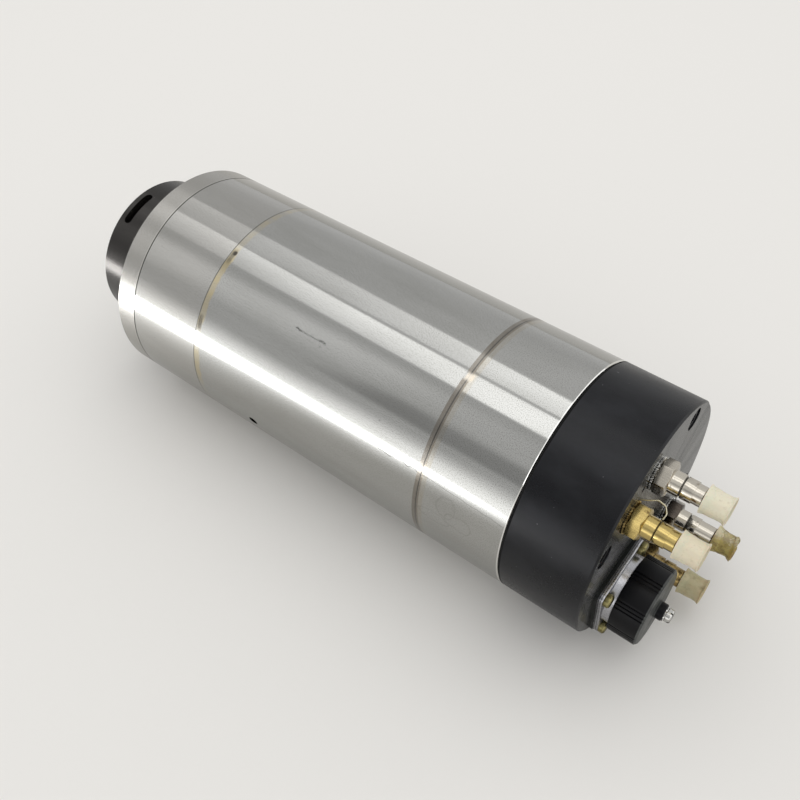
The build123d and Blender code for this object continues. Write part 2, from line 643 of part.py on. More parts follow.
with BuildPart() as preload_spring:
    x_spring = X_REAR_BEARING - PRELOAD_SPACE
    outer_edge = REAR_OUTER_R - SLIDE_FIT
    inner_edge = REAR_OUTER_R - REAR_RING_T
    turned((x_spring, outer_edge), (x_spring + PRELOAD_T, outer_edge),
           (X_REAR_BEARING, inner_edge), (X_REAR_BEARING - PRELOAD_T, inner_edge))

# ================= Collet, drawbar and disc springs =================
x_collet = -NOSE_REACH - COLLET_PROUD
x_collet_edge = x_collet + COLLET_CHAMFER
x_collet_tail = X_CONE_END + COLLET_TAIL_L
with BuildPart() as collet:
    turned(
        (x_collet, TOOL_R + COLLET_CHAMFER), (x_collet, cone_r(x_collet_edge) - COLLET_CHAMFER),
        (x_collet_edge, cone_r(x_collet_edge) - SLIDE_FIT),
        (X_CONE_END, cone_r(X_CONE_END) - SLIDE_FIT), (X_CONE_END, COLLET_R), (x_collet_tail, COLLET_R),
        (x_collet_tail, DRAWBAR_R), (x_collet_tail - DRAWBAR_THREAD_L, DRAWBAR_R),
        (x_collet_tail - DRAWBAR_THREAD_L, FITTING_BORE_R), (x_collet + COLLET_BORE_L, FITTING_BORE_R),
        (x_collet + COLLET_BORE_L, TOOL_R), (x_collet_edge, TOOL_R),
    )
    for cut in range(COLLET_SLOTS // 2):
        turned_plane = Plane.XY.rotated((45.0 + cut * 360.0 / COLLET_SLOTS, 0, 0))
        with BuildSketch(turned_plane) as slot_cut:
            with Locations((x_collet + COLLET_SLOT_L / 2, 0)):
                Rectangle(COLLET_SLOT_L, 4 * CONE_MOUTH_R)
        extrude(slot_cut.sketch, amount=COLLET_SLOT_W / 2, both=True, mode=Mode.SUBTRACT)

with BuildPart() as drawbar:
    ring(x_collet_tail - DRAWBAR_THREAD_L, X_HEAD_REAR - DRAWBAR_END_SETBACK, DRAWBAR_R)

with BuildPart() as drawbar_head:
    ring(X_HEAD_FRONT, X_HEAD_REAR, DRAWBAR_HEAD_R, DRAWBAR_R)
    rear_edges = drawbar_head.edges().filter_by(GeomType.CIRCLE).group_by(Axis.X)[-1]
    chamfer(rear_edges.sort_by(SortBy.RADIUS)[-1], DRAWBAR_HEAD_CHAMFER)

with BuildPart() as disc_springs:
    hole_r = DRAWBAR_R + DISC_SIDE_PLAY
    rim_r = SPRING_BORE_R - DISC_SIDE_PLAY
    for disc in range(DISC_COUNT):
        x_disc = X_DISCS + disc * DISC_PITCH + DISC_GAP / 2
        lean_in, lean_out = (0.0, DISC_CONE) if disc % 2 else (DISC_CONE, 0.0)
        turned((x_disc + lean_in, hole_r), (x_disc + lean_in + DISC_T, hole_r),
               (x_disc + lean_out + DISC_T, rim_r), (x_disc + lean_out, rim_r))

# ================= Release cylinder =================
with BuildPart() as release_cylinder:
    ring(X_CYLINDER, X_CYL_END, CYL_OUTER_R)
    ring(X_JOINT, X_JOINT + CYL_FLANGE_T, COVER_CAVITY_R - SLIDE_FIT)
    ring(X_CYL_FLOOR, X_CYL_END, CYL_BORE_R, mode=Mode.SUBTRACT)
    ring(X_CYLINDER, X_CYL_FLOOR, PUSHER_R + SLIDE_FIT, mode=Mode.SUBTRACT)
    drill(pipe_places, X_JOINT, X_JOINT + CYL_FLANGE_T, PIPE_R)
    drill(flange_screw_places, X_JOINT, X_JOINT + CYL_FLANGE_T, M3_R)
    drill(head_screw_places, X_CYL_END - HEAD_SCREW_REACH, X_CYL_END, M3_R)

with BuildPart() as cylinder_head:
    ring(X_CYL_END, X_HEAD_END, CYL_OUTER_R)
    # An ear on the head takes the pipe from the release-air fitting, drilled through to the bore.
    with BuildSketch(around(0, 0, X_CYL_END)) as ear:
        with PolarLocations(FITTING_PCD_R / 2, 1, start_angle=air_place[0][1]):
            Rectangle(FITTING_PCD_R, 4 * PIPE_R)
    extrude(ear.sketch, amount=CYL_HEAD_T)
    drill(air_place, X_CYL_END, X_HEAD_END, 2 * PIPE_R, Mode.ADD)
    drill(air_place, X_HEAD_END - PIPE_SEAT, X_HEAD_END, PIPE_R)
    drill(head_screw_places, X_CYL_END, X_HEAD_END, M3_R)

with BuildPart() as cylinder_screws:
    flange_top = X_JOINT + CYL_FLANGE_T
    drill(flange_screw_places, X_JOINT - FLANGE_SCREW_REACH, flange_top, M3_R, Mode.ADD)
    drill(flange_screw_places, flange_top, flange_top + M3_HEAD_L, M3_HEAD_R, Mode.ADD)
    drill(head_screw_places, X_CYL_END - HEAD_SCREW_REACH, X_HEAD_END, M3_R, Mode.ADD)

with BuildPart() as release_piston:
    turned(
        (X_PISTON, PUSHER_R), (X_PISTON, CYL_BORE_R - PISTON_FIT),
        (X_PISTON_END, CYL_BORE_R - PISTON_FIT), (X_PISTON_END, 0),
        (X_HEAD_REAR + PUSHER_GAP, 0), (X_HEAD_REAR + PUSHER_GAP, PUSHER_R),
    )
    seal_middle = (X_PISTON + X_PISTON_END) / 2
    ring(seal_middle - PISTON_SEAL_W / 2, seal_middle + PISTON_SEAL_W / 2, CYL_BORE_R,
         CYL_BORE_R - PISTON_FIT - PISTON_SEAL_DEPTH, Mode.SUBTRACT)

with BuildPart() as piston_seal:
    ring(seal_middle - PISTON_SEAL_W / 2, seal_middle + PISTON_SEAL_W / 2, CYL_BORE_R - PISTON_SEAL_FIT,
         CYL_BORE_R - PISTON_FIT - PISTON_SEAL_DEPTH)

with BuildPart() as piston_return_springs:
    return_pitch = (X_PISTON - X_CYL_FLOOR) / RETURN_DISCS
    return_cone = return_pitch - RETURN_T - RETURN_GAP
    return_hole_r = PUSHER_R + RETURN_HOLE_PLAY
    for disc in range(RETURN_DISCS):
        x_disc = X_CYL_FLOOR + disc * return_pitch + RETURN_GAP / 2
        lean_in, lean_out = (0.0, return_cone) if disc % 2 else (return_cone, 0.0)
        turned((x_disc + lean_in, return_hole_r), (x_disc + lean_in + RETURN_T, return_hole_r),
               (x_disc + lean_out + RETURN_T, RETURN_R), (x_disc + lean_out, RETURN_R))

with BuildPart() as transfer_pipes:
    drill(pipe_places, X_JOINT - PIPE_SEAT, X_BOSS + PIPE_SEAT, PIPE_R, Mode.ADD)
    drill(air_place, X_HEAD_END - PIPE_SEAT, X_BOSS + PIPE_SEAT, PIPE_R, Mode.ADD)
    drill(fitting_places, X_JOINT - PIPE_SEAT, X_BOSS + PIPE_SEAT, PIPE_BORE_R)

# ================= Rear cover =================
connector_plane = around(CONNECTOR_R, CONNECTOR_ANGLE, X_REAR, CONNECTOR_TURN)
with BuildPart() as rear_cover:
    ring(X_JOINT, X_REAR, BODY_R)
    outer_rims = rear_cover.edges().filter_by(GeomType.CIRCLE).sort_by(Axis.X)
    chamfer(outer_rims[-1], REAR_RIM_CHAMFER)
    chamfer(outer_rims[0], JOINT_CHAMFER)
    ring(X_JOINT, X_INNER_END, COVER_CAVITY_R, mode=Mode.SUBTRACT)
    drill(fitting_places, X_BOSS, X_INNER_END, BOSS_R, Mode.ADD)
    drill(fitting_places, X_REAR - FITTING_THREAD_L, X_REAR, FITTING_THREAD_R + SLIDE_FIT)
    drill(fitting_places, X_BOSS, X_BOSS + PIPE_SEAT, PIPE_R)
    drill(rear_screw_places, X_REAR - M5_SINK_L, X_REAR, M5_SINK_R)
    drill(rear_screw_places, X_JOINT, X_REAR, M5_CLEAR_R)
    drill([(JACK_HOLE_PCD_R, JACK_HOLE_ANGLE)], X_REAR - JACK_HOLE_DEPTH, X_REAR, JACK_HOLE_R)
    with BuildSketch(connector_plane) as connector_cutout:
        Circle(CONNECTOR_BODY_R + CONNECTOR_BODY_PLAY)
        with GridLocations(FLANGE_SCREW_PITCH, FLANGE_SCREW_PITCH, 2, 2):
            Circle(M3_R)
    extrude(connector_cutout.sketch, amount=-CONNECTOR_BODY_L, mode=Mode.SUBTRACT)

with BuildPart() as rear_cover_screws:
    socket_screws(rear_screw_places, X_REAR - M5_SINK_L, M5_R, REAR_SCREW_L, M5_HEAD_R, M5_HEAD_L)

# ================= Connector =================
flange_base = connector_plane.offset(GASKET_T)
flange_top_plane = flange_base.offset(FLANGE_T)
shoulder_plane = flange_top_plane.offset(SHELL_L)
rim_plane = shoulder_plane.offset(CONNECTOR_THREAD_L)
with BuildPart() as connector_gasket:
    with BuildSketch(connector_plane):
        gasket_side = FLANGE_SIDE + 2 * GASKET_OVERLAP
        RectangleRounded(gasket_side, gasket_side, FLANGE_CORNER)
        Circle(CONNECTOR_BODY_R, mode=Mode.SUBTRACT)
        with GridLocations(FLANGE_SCREW_PITCH, FLANGE_SCREW_PITCH, 2, 2):
            Circle(M3_R, mode=Mode.SUBTRACT)
    extrude(amount=GASKET_T)

with BuildPart() as connector_receptacle:
    with BuildSketch(flange_base):
        RectangleRounded(FLANGE_SIDE, FLANGE_SIDE, FLANGE_CORNER)
    extrude(amount=FLANGE_T)
    flange_rim = connector_receptacle.faces().sort_by(Axis.X)[-1].outer_wire().edges()
    chamfer(flange_rim, FLANGE_CHAMFER)
    with BuildSketch(flange_base):
        with GridLocations(FLANGE_SCREW_PITCH, FLANGE_SCREW_PITCH, 2, 2):
            Circle(M3_R)
    extrude(amount=FLANGE_T, mode=Mode.SUBTRACT)
    with BuildSketch(flange_top_plane):
        Circle(SHELL_R)
    extrude(amount=SHELL_L)
    with BuildSketch(shoulder_plane):
        Circle(CONNECTOR_THREAD_R)
    extrude(amount=CONNECTOR_THREAD_L)
    with BuildSketch(flange_base):
        Circle(CONNECTOR_BODY_R)
    extrude(amount=-CONNECTOR_BODY_L)
    with BuildSketch(flange_base.offset(-CONNECTOR_BODY_L)):
        Circle(CONNECTOR_BORE_R)
    extrude(until=Until.LAST, mode=Mode.SUBTRACT)

with BuildPart() as connector_insert:
    with BuildSketch(flange_base.offset(-CONNECTOR_BODY_L)):
        Circle(CONNECTOR_BORE_R)
        with PolarLocations(PIN_CIRCLE_R, PIN_COUNT):
            Circle(PIN_R, mode=Mode.SUBTRACT)
    insert_l = CONNECTOR_BODY_L + FLANGE_T + SHELL_L + CONNECTOR_THREAD_L - INSERT_DEPTH
    extrude(amount=insert_l)

with BuildPart() as connector_pins:
    with BuildSketch(flange_base.offset(-CONNECTOR_BODY_L)):
        with PolarLocations(PIN_CIRCLE_R, PIN_COUNT):
            Circle(PIN_R)
    extrude(amount=insert_l + PIN_REACH)

with BuildPart() as connector_screws:
    with BuildSketch(flange_top_plane):
        with GridLocations(FLANGE_SCREW_PITCH, FLANGE_SCREW_PITCH, 2, 2):
            Circle(M3_HEAD_R)
    extrude(amount=M3_HEAD_L)
    chamfer(connector_screws.edges().filter_by(GeomType.CIRCLE).group_by(Axis.X)[-1], M3_HEAD_CHAMFER)
    with BuildSketch(flange_top_plane):
        with GridLocations(FLANGE_SCREW_PITCH, FLANGE_SCREW_PITCH, 2, 2):
            Circle(M3_R)
    extrude(amount=-FLANGE_T - GASKET_T - COVER_END_WALL)

# ================= Dust cap =================
mouth_plane = shoulder_plane.offset(DUST_CAP_GAP)
inner_depth = DUST_CAP_L - DUST_CAP_END
end_plane = mouth_plane.offset(DUST_CAP_L)
with BuildPart() as dust_cap:
    with BuildSketch(mouth_plane):
        Circle(DUST_CAP_R)
    extrude(amount=DUST_CAP_L)
    chamfer(dust_cap.edges().filter_by(GeomType.CIRCLE).sort_by(Axis.X)[-1], DUST_CAP_CHAMFER)
    with BuildSketch(mouth_plane):
        Circle(CONNECTOR_THREAD_R + DUST_CAP_FIT)
    extrude(amount=inner_depth, mode=Mode.SUBTRACT)
    with BuildSketch(end_plane):
        Circle(M3_R)
    extrude(amount=-DUST_CAP_END, mode=Mode.SUBTRACT)
    # Fine grip grooves along the skirt, in groups.
    with BuildSketch(mouth_plane):
        for group in range(GRIP_GROUPS):
            for groove in range(GRIP_GROOVES):
                angle = group * 360.0 / GRIP_GROUPS + (groove - (GRIP_GROOVES - 1) / 2) * GRIP_PITCH
                with PolarLocations(DUST_CAP_R, 1, start_angle=angle):
                    Rectangle(2 * GRIP_DEPTH, GRIP_W)
    extrude(amount=DUST_CAP_L, mode=Mode.SUBTRACT)

with BuildPart() as dust_cap_gasket:
    with BuildSketch(mouth_plane.offset(inner_depth)):
        Circle(CONNECTOR_THREAD_R - CAP_GASKET_PLAY)
        Circle(BUSH_R, mode=Mode.SUBTRACT)
    extrude(amount=-CAP_GASKET_T)

with BuildPart() as dust_cap_bush:
    with BuildSketch(end_plane):
        Circle(BUSH_R)
        Circle(M3_R, mode=Mode.SUBTRACT)
    extrude(amount=BUSH_L)
    bush_rims = dust_cap_bush.edges().filter_by(GeomType.CIRCLE).group_by(Axis.X)[-1]
    chamfer(bush_rims.sort_by(SortBy.RADIUS)[-1], BUSH_CHAMFER)

bush_top = end_plane.offset(BUSH_L)
swivel_plane = bush_top.offset(SWIVEL_GAP)
screw_head_plane = swivel_plane.offset(SWIVEL_T + SWIVEL_GAP)
with BuildPart() as swivel_washer:
    with BuildSketch(swivel_plane):
        Circle(SWIVEL_R)
        Circle(M3_R + SWIVEL_GAP, mode=Mode.SUBTRACT)
    extrude(amount=SWIVEL_T)

with BuildPart() as dust_cap_screw:
    with BuildSketch(screw_head_plane):
        Circle(CAP_SCREW_HEAD_R)
    extrude(amount=CAP_SCREW_HEAD_L)
    fillet(dust_cap_screw.edges().filter_by(GeomType.CIRCLE).sort_by(Axis.X)[-1], CAP_SCREW_ROUND)
    with BuildSketch(screw_head_plane.offset(CAP_SCREW_HEAD_L)):
        Rectangle(2 * CAP_SCREW_HEAD_R, CAP_SCREW_SLOT_W)
        Rectangle(CAP_SCREW_SLOT_W, 2 * CAP_SCREW_HEAD_R)
    extrude(amount=-CAP_SCREW_SLOT_DEPTH, mode=Mode.SUBTRACT)
    with BuildSketch(screw_head_plane):
        Circle(M3_R)
    extrude(amount=-(SWIVEL_T + 2 * SWIVEL_GAP + BUSH_L + DUST_CAP_END))

# ================= Hose fittings and their caps =================
with BuildPart() as fitting_washers:
    drill(fitting_places, X_REAR, X_REAR + WASHER_T, WASHER_R, Mode.ADD)
    drill(fitting_places, X_REAR, X_REAR + WASHER_T, FITTING_THREAD_R)


def hose_fitting(angle, extra_l):
    """Add one screw-in hose fitting: thread, hexagon, grooved nut, neck and bored nipple."""
    place = [(FITTING_PCD_R, angle)]
    x_hex = X_REAR + WASHER_T
    x_nut = x_hex + HEX_L
    x_groove = x_nut + NUT_FRONT_L
    x_nut_end = x_groove + NUT_GROOVE + NUT_REAR_L
    x_neck_end = x_nut_end + NECK_L + extra_l
    with BuildSketch(around(FITTING_PCD_R, angle, x_hex, angle)) as hexagon:
        RegularPolygon(HEX_FLATS / 2, 6, major_radius=False)
    extrude(hexagon.sketch, amount=HEX_L)
    # Turned bevels take the hexagon's corners off at both ends.
    hex_face_r = HEX_FACE_SHARE * HEX_FLATS / 2
    for x_face, x_far in ((x_hex, x_nut), (x_nut, x_hex)):
        with BuildSketch(around(FITTING_PCD_R, angle, x_face)) as face:
            Circle(hex_face_r)
        with BuildSketch(around(FITTING_PCD_R, angle, x_far)) as far:
            Circle(hex_face_r + HEX_L / tan(radians(HEX_BEVEL_ANGLE)))
        loft(Sketch() + [face.sketch.face(), far.sketch.face()], mode=Mode.INTERSECT)
    drill(place, X_REAR - FITTING_THREAD_L, x_hex, FITTING_THREAD_R, Mode.ADD)
    drill(place, x_nut, x_groove, NUT_R, Mode.ADD)
    drill(place, x_groove, x_groove + NUT_GROOVE, NUT_R - NUT_GROOVE, Mode.ADD)
    drill(place, x_groove + NUT_GROOVE, x_nut_end, NUT_R - NUT_REAR_STEP, Mode.ADD)
    drill(place, x_nut_end, x_neck_end, NECK_R, Mode.ADD)
    drill(place, x_neck_end, x_neck_end + NIPPLE_L, NIPPLE_R, Mode.ADD)
    drill(place, X_REAR - FITTING_THREAD_L, x_neck_end + NIPPLE_L, FITTING_BORE_R)
    return x_neck_end


def transit_cap(angle, x_mouth):
    """Add one push-on plastic cap that seats on the neck and covers the nipple."""
    plane = around(FITTING_PCD_R, angle, x_mouth + CAP_FIT)
    with BuildSketch(plane) as mouth:
        Circle(CAP_MOUTH_R)
    with BuildSketch(plane.offset(CAP_L)) as tip:
        Circle(CAP_TIP_R)
    loft(Sketch() + [mouth.sketch.face(), tip.sketch.face()])
    with BuildSketch(plane) as socket:
        Circle(NIPPLE_R + CAP_FIT)
    extrude(socket.sketch, amount=NIPPLE_L, mode=Mode.SUBTRACT)


fitting_builders = {}
for fitting_name, fitting_angle, extra_neck in FITTINGS:
    with BuildPart() as fitting:
        neck_end = hose_fitting(fitting_angle, extra_neck)
    with BuildPart() as cap:
        transit_cap(fitting_angle, neck_end)
        tip_rim = cap.edges().filter_by(GeomType.CIRCLE).sort_by(Axis.X)[-1]
        fillet(tip_rim, CAP_EDGE)
    fitting_builders[f"{fitting_name}_fitting"] = fitting
    fitting_builders[f"{fitting_name}_cap"] = cap

# The hoop stands on the rear face beside the washer, rises past the hexagon and ends over the groove.
wire_out = Vector(0, cos(radians(WIRE_ANGLE)), sin(radians(WIRE_ANGLE)))
wire_plane = Plane(
    origin=around(*air_place[0], X_REAR).origin, x_dir=(1, 0, 0), z_dir=Vector(1, 0, 0).cross(wire_out)
)
wire_foot = WASHER_R + WIRE_R + WIRE_GAP
wire_groove = WASHER_T + HEX_L + NUT_FRONT_L + NUT_GROOVE / 2
wire_top = wire_foot + WIRE_RISE
with BuildPart() as wire_hoop:
    with BuildLine(wire_plane) as wire_route:
        FilletPolyline(
            (WIRE_GAP, wire_foot), (0.25 * wire_groove, wire_foot + 0.4 * WIRE_RISE),
            (0.55 * wire_groove, wire_top), (0.85 * wire_groove, wire_top - 0.2 * WIRE_RISE),
            (wire_groove, wire_foot), (wire_groove - WIRE_R, NUT_R + WIRE_R), radius=WIRE_BEND_R,
        )
    with BuildSketch(Plane(origin=wire_route.line @ 0, z_dir=wire_route.line % 0)) as wire_section:
        Circle(WIRE_R)
    sweep(wire_section.sketch, path=wire_route.line)

pieces = {
    "nose_ring": nose_ring,
    "nose_ring_screws": nose_ring_screws,
    "front_cover": front_cover,
    "front_cover_screws": front_cover_screws,
    "front_housing": front_housing,
    "stator_jacket": stator_jacket,
    "rear_housing": rear_housing,
    "cooling_sleeve": cooling_sleeve,
    "jacket_seals": jacket_seals,
    "stator_core": stator_core,
    "stator_windings": stator_windings,
    "rotor_core": rotor_core,
    "rotor_end_rings": rotor_end_rings,
    "shaft": shaft,
    "front_bearing_outer_rings": front_bearing_outer_rings,
    "front_bearing_inner_rings": front_bearing_inner_rings,
    "front_bearing_balls": front_bearing_balls,
    "front_bearing_cages": front_bearing_cages,
    "outer_spacer": outer_spacer,
    "inner_spacer": inner_spacer,
    "front_locknut": front_locknut,
    "rear_bearing_outer_ring": rear_bearing_outer_ring,
    "rear_bearing_inner_ring": rear_bearing_inner_ring,
    "rear_bearing_balls": rear_bearing_balls,
    "rear_bearing_cage": rear_bearing_cage,
    "rear_locknut": rear_locknut,
    "preload_spring": preload_spring,
    "collet": collet,
    "drawbar": drawbar,
    "drawbar_head": drawbar_head,
    "disc_springs": disc_springs,
    "release_cylinder": release_cylinder,
    "cylinder_head": cylinder_head,
    "cylinder_screws": cylinder_screws,
    "release_piston": release_piston,
    "piston_seal": piston_seal,
    "piston_return_springs": piston_return_springs,
    "transfer_pipes": transfer_pipes,
    "rear_cover": rear_cover,
    "rear_cover_screws": rear_cover_screws,
    "connector_gasket": connector_gasket,
    "connector_receptacle": connector_receptacle,
    "connector_insert": connector_insert,
    "connector_pins": connector_pins,
    "connector_screws": connector_screws,
    "dust_cap": dust_cap,
    "dust_cap_gasket": dust_cap_gasket,
    "dust_cap_bush": dust_cap_bush,
    "dust_cap_screw": dust_cap_screw,
    "swivel_washer": swivel_washer,
    "fitting_washers": fitting_washers,
    "wire_hoop": wire_hoop,
    **fitting_builders,
}
for piece_name, piece in pieces.items():
    write(piece_name, piece)
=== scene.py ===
"""Dresses the motor spindle: finishes on its machined pieces, soft transit caps and small trim."""
import logging
from collections.abc import Callable, Iterator
from contextlib import contextmanager
from dataclasses import dataclass, field, replace
from enum import Enum
from functools import reduce
from math import atan2, hypot, pi, radians, tau

import bmesh
import bpy
from mathutils import Matrix, Vector


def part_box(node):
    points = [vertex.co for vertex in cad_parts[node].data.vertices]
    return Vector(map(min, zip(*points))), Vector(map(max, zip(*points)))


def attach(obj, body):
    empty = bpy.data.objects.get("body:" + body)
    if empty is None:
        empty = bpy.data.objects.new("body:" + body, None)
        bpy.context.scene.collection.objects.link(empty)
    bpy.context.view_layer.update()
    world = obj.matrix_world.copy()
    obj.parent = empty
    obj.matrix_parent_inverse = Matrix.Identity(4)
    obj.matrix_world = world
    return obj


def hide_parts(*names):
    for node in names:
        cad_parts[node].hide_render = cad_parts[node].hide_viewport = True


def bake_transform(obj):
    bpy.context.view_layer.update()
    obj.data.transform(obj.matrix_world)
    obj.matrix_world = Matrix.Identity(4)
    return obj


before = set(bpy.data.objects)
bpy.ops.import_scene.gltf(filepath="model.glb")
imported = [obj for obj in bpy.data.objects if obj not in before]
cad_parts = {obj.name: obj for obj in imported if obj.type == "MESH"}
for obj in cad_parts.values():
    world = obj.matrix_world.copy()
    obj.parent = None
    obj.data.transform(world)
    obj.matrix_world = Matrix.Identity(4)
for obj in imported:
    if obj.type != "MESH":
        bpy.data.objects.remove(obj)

MM = 0.001
log = logging.getLogger("motor_spindle")
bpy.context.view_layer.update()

Colour = tuple[float, float, float, float]
Point = tuple[float, float, float]
Span = tuple[float, float]
Socket = bpy.types.NodeSocket
Piece = bpy.types.Object
SMOOTH = {"interpolation_type": "SMOOTHSTEP"}


# ---- Colour and nodes ----
def linear(code: str) -> Colour:
    """Turn an sRGB hex colour into linear RGBA.

    Args:
        code: The colour, such as "#C4C3BE".

    Returns:
        The linear red, green and blue, with an alpha of 1.
    """
    channels = [int(code[i:i + 2], 16) / 255 for i in (1, 3, 5)]
    red, green, blue = (c / 12.92 if c <= 0.04045 else ((c + 0.055) / 1.055) ** 2.4 for c in channels)
    return (red, green, blue, 1.0)


@dataclass
class Nodes:
    """One node tree, the way to add a node to it, and the masks that the finishes share."""

    tree: bpy.types.NodeTree

    def add(self, kind: str, *values, out: int | str = 0, into: dict | None = None, **settings) -> Socket:
        """Add one node with its settings and links.

        Args:
            kind: The node's type without its prefix. A word in capitals is a Math node's operation.
            values: What goes into the first inputs, in order. A socket is linked, all else is set.
            out: The output to return, by name or number.
            into: The same for other inputs, by name or number.
            settings: Attributes to set on the node.

        Returns:
            The chosen output, or None from a node that has none.
        """
        if kind.isupper():
            kind, settings = "Math", {"operation": kind, **settings}
        node = self.tree.nodes.new("ShaderNode" + kind)
        for name, value in settings.items():
            setattr(node, name, value)
        for place, value in [*enumerate(values), *(into or {}).items()]:
            if isinstance(value, Socket):
                self.tree.links.new(value, node.inputs[place])
            else:
                node.inputs[place].default_value = value
        return node.outputs[out] if node.outputs else None

    def stripe(self, value: Socket, middle: float, half: float, soft: float) -> Socket:
        """Mask a stripe: 1 up to half away from its middle, falling to 0 over the soft edge."""
        away = self.add("ABSOLUTE", self.add("SUBTRACT", value, middle))
        return self.add("MapRange", away, half + soft, half, **SMOOTH)

    def patches(self, vector: Socket, size: float, low: float = 0.3, high: float = 0.7,
                detail: float = 3.0, rough: float = 0.55, twist: float = 0.0) -> Socket:
        """Mask irregular patches.

        Args:
            vector: Where the pattern is read.
            size: The size of a patch, in the vector's unit.
            low: The noise level under which the mask is 0.
            high: The noise level over which it is 1.
            detail: How many finer layers the patches have.
            rough: How strong those are.
            twist: How far the patches are drawn out into veins.

        Returns:
            The mask, from 0 to 1.
        """
        noise = self.add("TexNoise", into={"Vector": vector, "Scale": 1 / size, "Detail": detail,
                                           "Roughness": rough, "Distortion": twist})
        return self.add("MapRange", noise, low, high, **SMOOTH)

    def overlap(self, *masks: Socket | float) -> Socket:
        """Multiply two or more masks and weights."""
        return reduce(lambda product, mask: self.add("MULTIPLY", product, mask), masks)

    def total(self, *parts: Socket | float) -> Socket:
        """Add up two or more levels, heights or masks."""
        return reduce(lambda level, part: self.add("ADD", level, part), parts)

    def painted(self, ground: Socket | Colour, *coats: tuple[Socket | float, float, str]) -> Socket:
        """Lay coats of colour over a ground colour.

        Args:
            ground: The colour underneath.
            coats: Each coat's mask, its strength and its sRGB hex colour, the lowest first.

        Returns:
            The colour on top.
        """
        for mask, strength, code in coats:
            factor = self.add("MULTIPLY", mask, strength)
            ground = self.add("Mix", into={0: factor, 6: ground, 7: linear(code)}, out=2, data_type="RGBA")
        return ground


@dataclass
class Skin(Nodes):
    """A material's nodes, with its shader and its Object coordinates."""

    shader: bpy.types.Node
    here: Socket

    def cover(self, colour: Socket, rough: Socket, height: Socket, depth: float, strength: float) -> None:
        """Drive the shader's colour, roughness and bumps.

        Args:
            colour: The colour.
            rough: The roughness.
            height: How high each place stands.
            depth: What a height of 1 is, in millimetres.
            strength: How much of that shows.
        """
        bump = self.add("Bump", into={"Height": height, "Distance": depth * MM, "Strength": strength})
        for name, source in (("Base Color", colour), ("Roughness", rough), ("Normal", bump)):
            self.tree.links.new(source, self.shader.inputs[name])


@dataclass
class Unrolled(Skin):
    """A skin laid out flat from a cylinder about the spindle axis, its radius in metres."""

    radius: float = 50 * MM

    def __post_init__(self) -> None:
        """Find the place along the axis, the angle and arc round it, and the distance out from it."""
        self.x, y, z = (self.add("SeparateXYZ", self.here, out=axis) for axis in "XYZ")
        # The angle runs from 0 at the top to a quarter turn on the -Y side. Its seam is underneath.
        self.angle = self.add("ARCTAN2", self.add("MULTIPLY", y, -1.0), z)
        self.arc = self.add("MULTIPLY", self.angle, self.radius)
        self.out = self.add("SQRT", self.total(self.add("POWER", y, 2.0), self.add("POWER", z, 2.0)))
        self.flat = self.add("CombineXYZ", self.x, self.arc, self.out)

    def stretched(self, along: float, around: float) -> Socket:
        """Give coordinates in which a patch of this length and girth, in millimetres, measures 1."""
        return self.add("CombineXYZ", self.add("DIVIDE", self.x, along * MM),
                        self.add("DIVIDE", self.arc, around * MM), 0.0)

    def band(self, middle: float, half: float, soft: float) -> Socket:
        """Mask a stripe round the body, its place and widths in millimetres."""
        return self.stripe(self.x, middle * MM, half * MM, soft * MM)

    def sector(self, middle: float, half: float, soft: float) -> Socket:
        """Mask a stripe along the body, its place and widths in degrees."""
        return self.stripe(self.angle, radians(middle), radians(half), radians(soft))


@dataclass(frozen=True)
class Finish:
    """A surface finish, named for its material and how it was made."""

    name: str
    colour: str
    roughness: float
    metallic: float = 0.0
    specular: float = 0.5

    def make(self) -> bpy.types.Material:
        """Build the material, or find it if it is there already.

        Returns:
            The material.
        """
        made = bpy.data.materials.get("finish_" + self.name)
        if made:
            return made
        made = bpy.data.materials.new("finish_" + self.name)
        made.use_nodes = True
        shader = made.node_tree.nodes["Principled BSDF"]
        for name, value in (("Base Color", linear(self.colour)), ("Roughness", self.roughness),
                            ("Metallic", self.metallic), ("Specular IOR Level", self.specular)):
            shader.inputs[name].default_value = value
        here = Nodes(made.node_tree).add("TexCoord", out="Object")
        self.detail(Skin(made.node_tree, shader, here))
        return made

    def detail(self, skin: Skin) -> None:
        """Add the faint unevenness that any machined or moulded surface has.

        Args:
            skin: The material's skin.
        """
        cloud = skin.patches(skin.here, 6 * MM, detail=4.0)
        skin.cover(skin.painted(linear(self.colour), (cloud, 0.12, "#000000")),
                   skin.add("MULTIPLY_ADD", cloud, 0.08, self.roughness - 0.04),
                   skin.patches(skin.here, 0.35 * MM, detail=2.0), 0.006, 0.4)


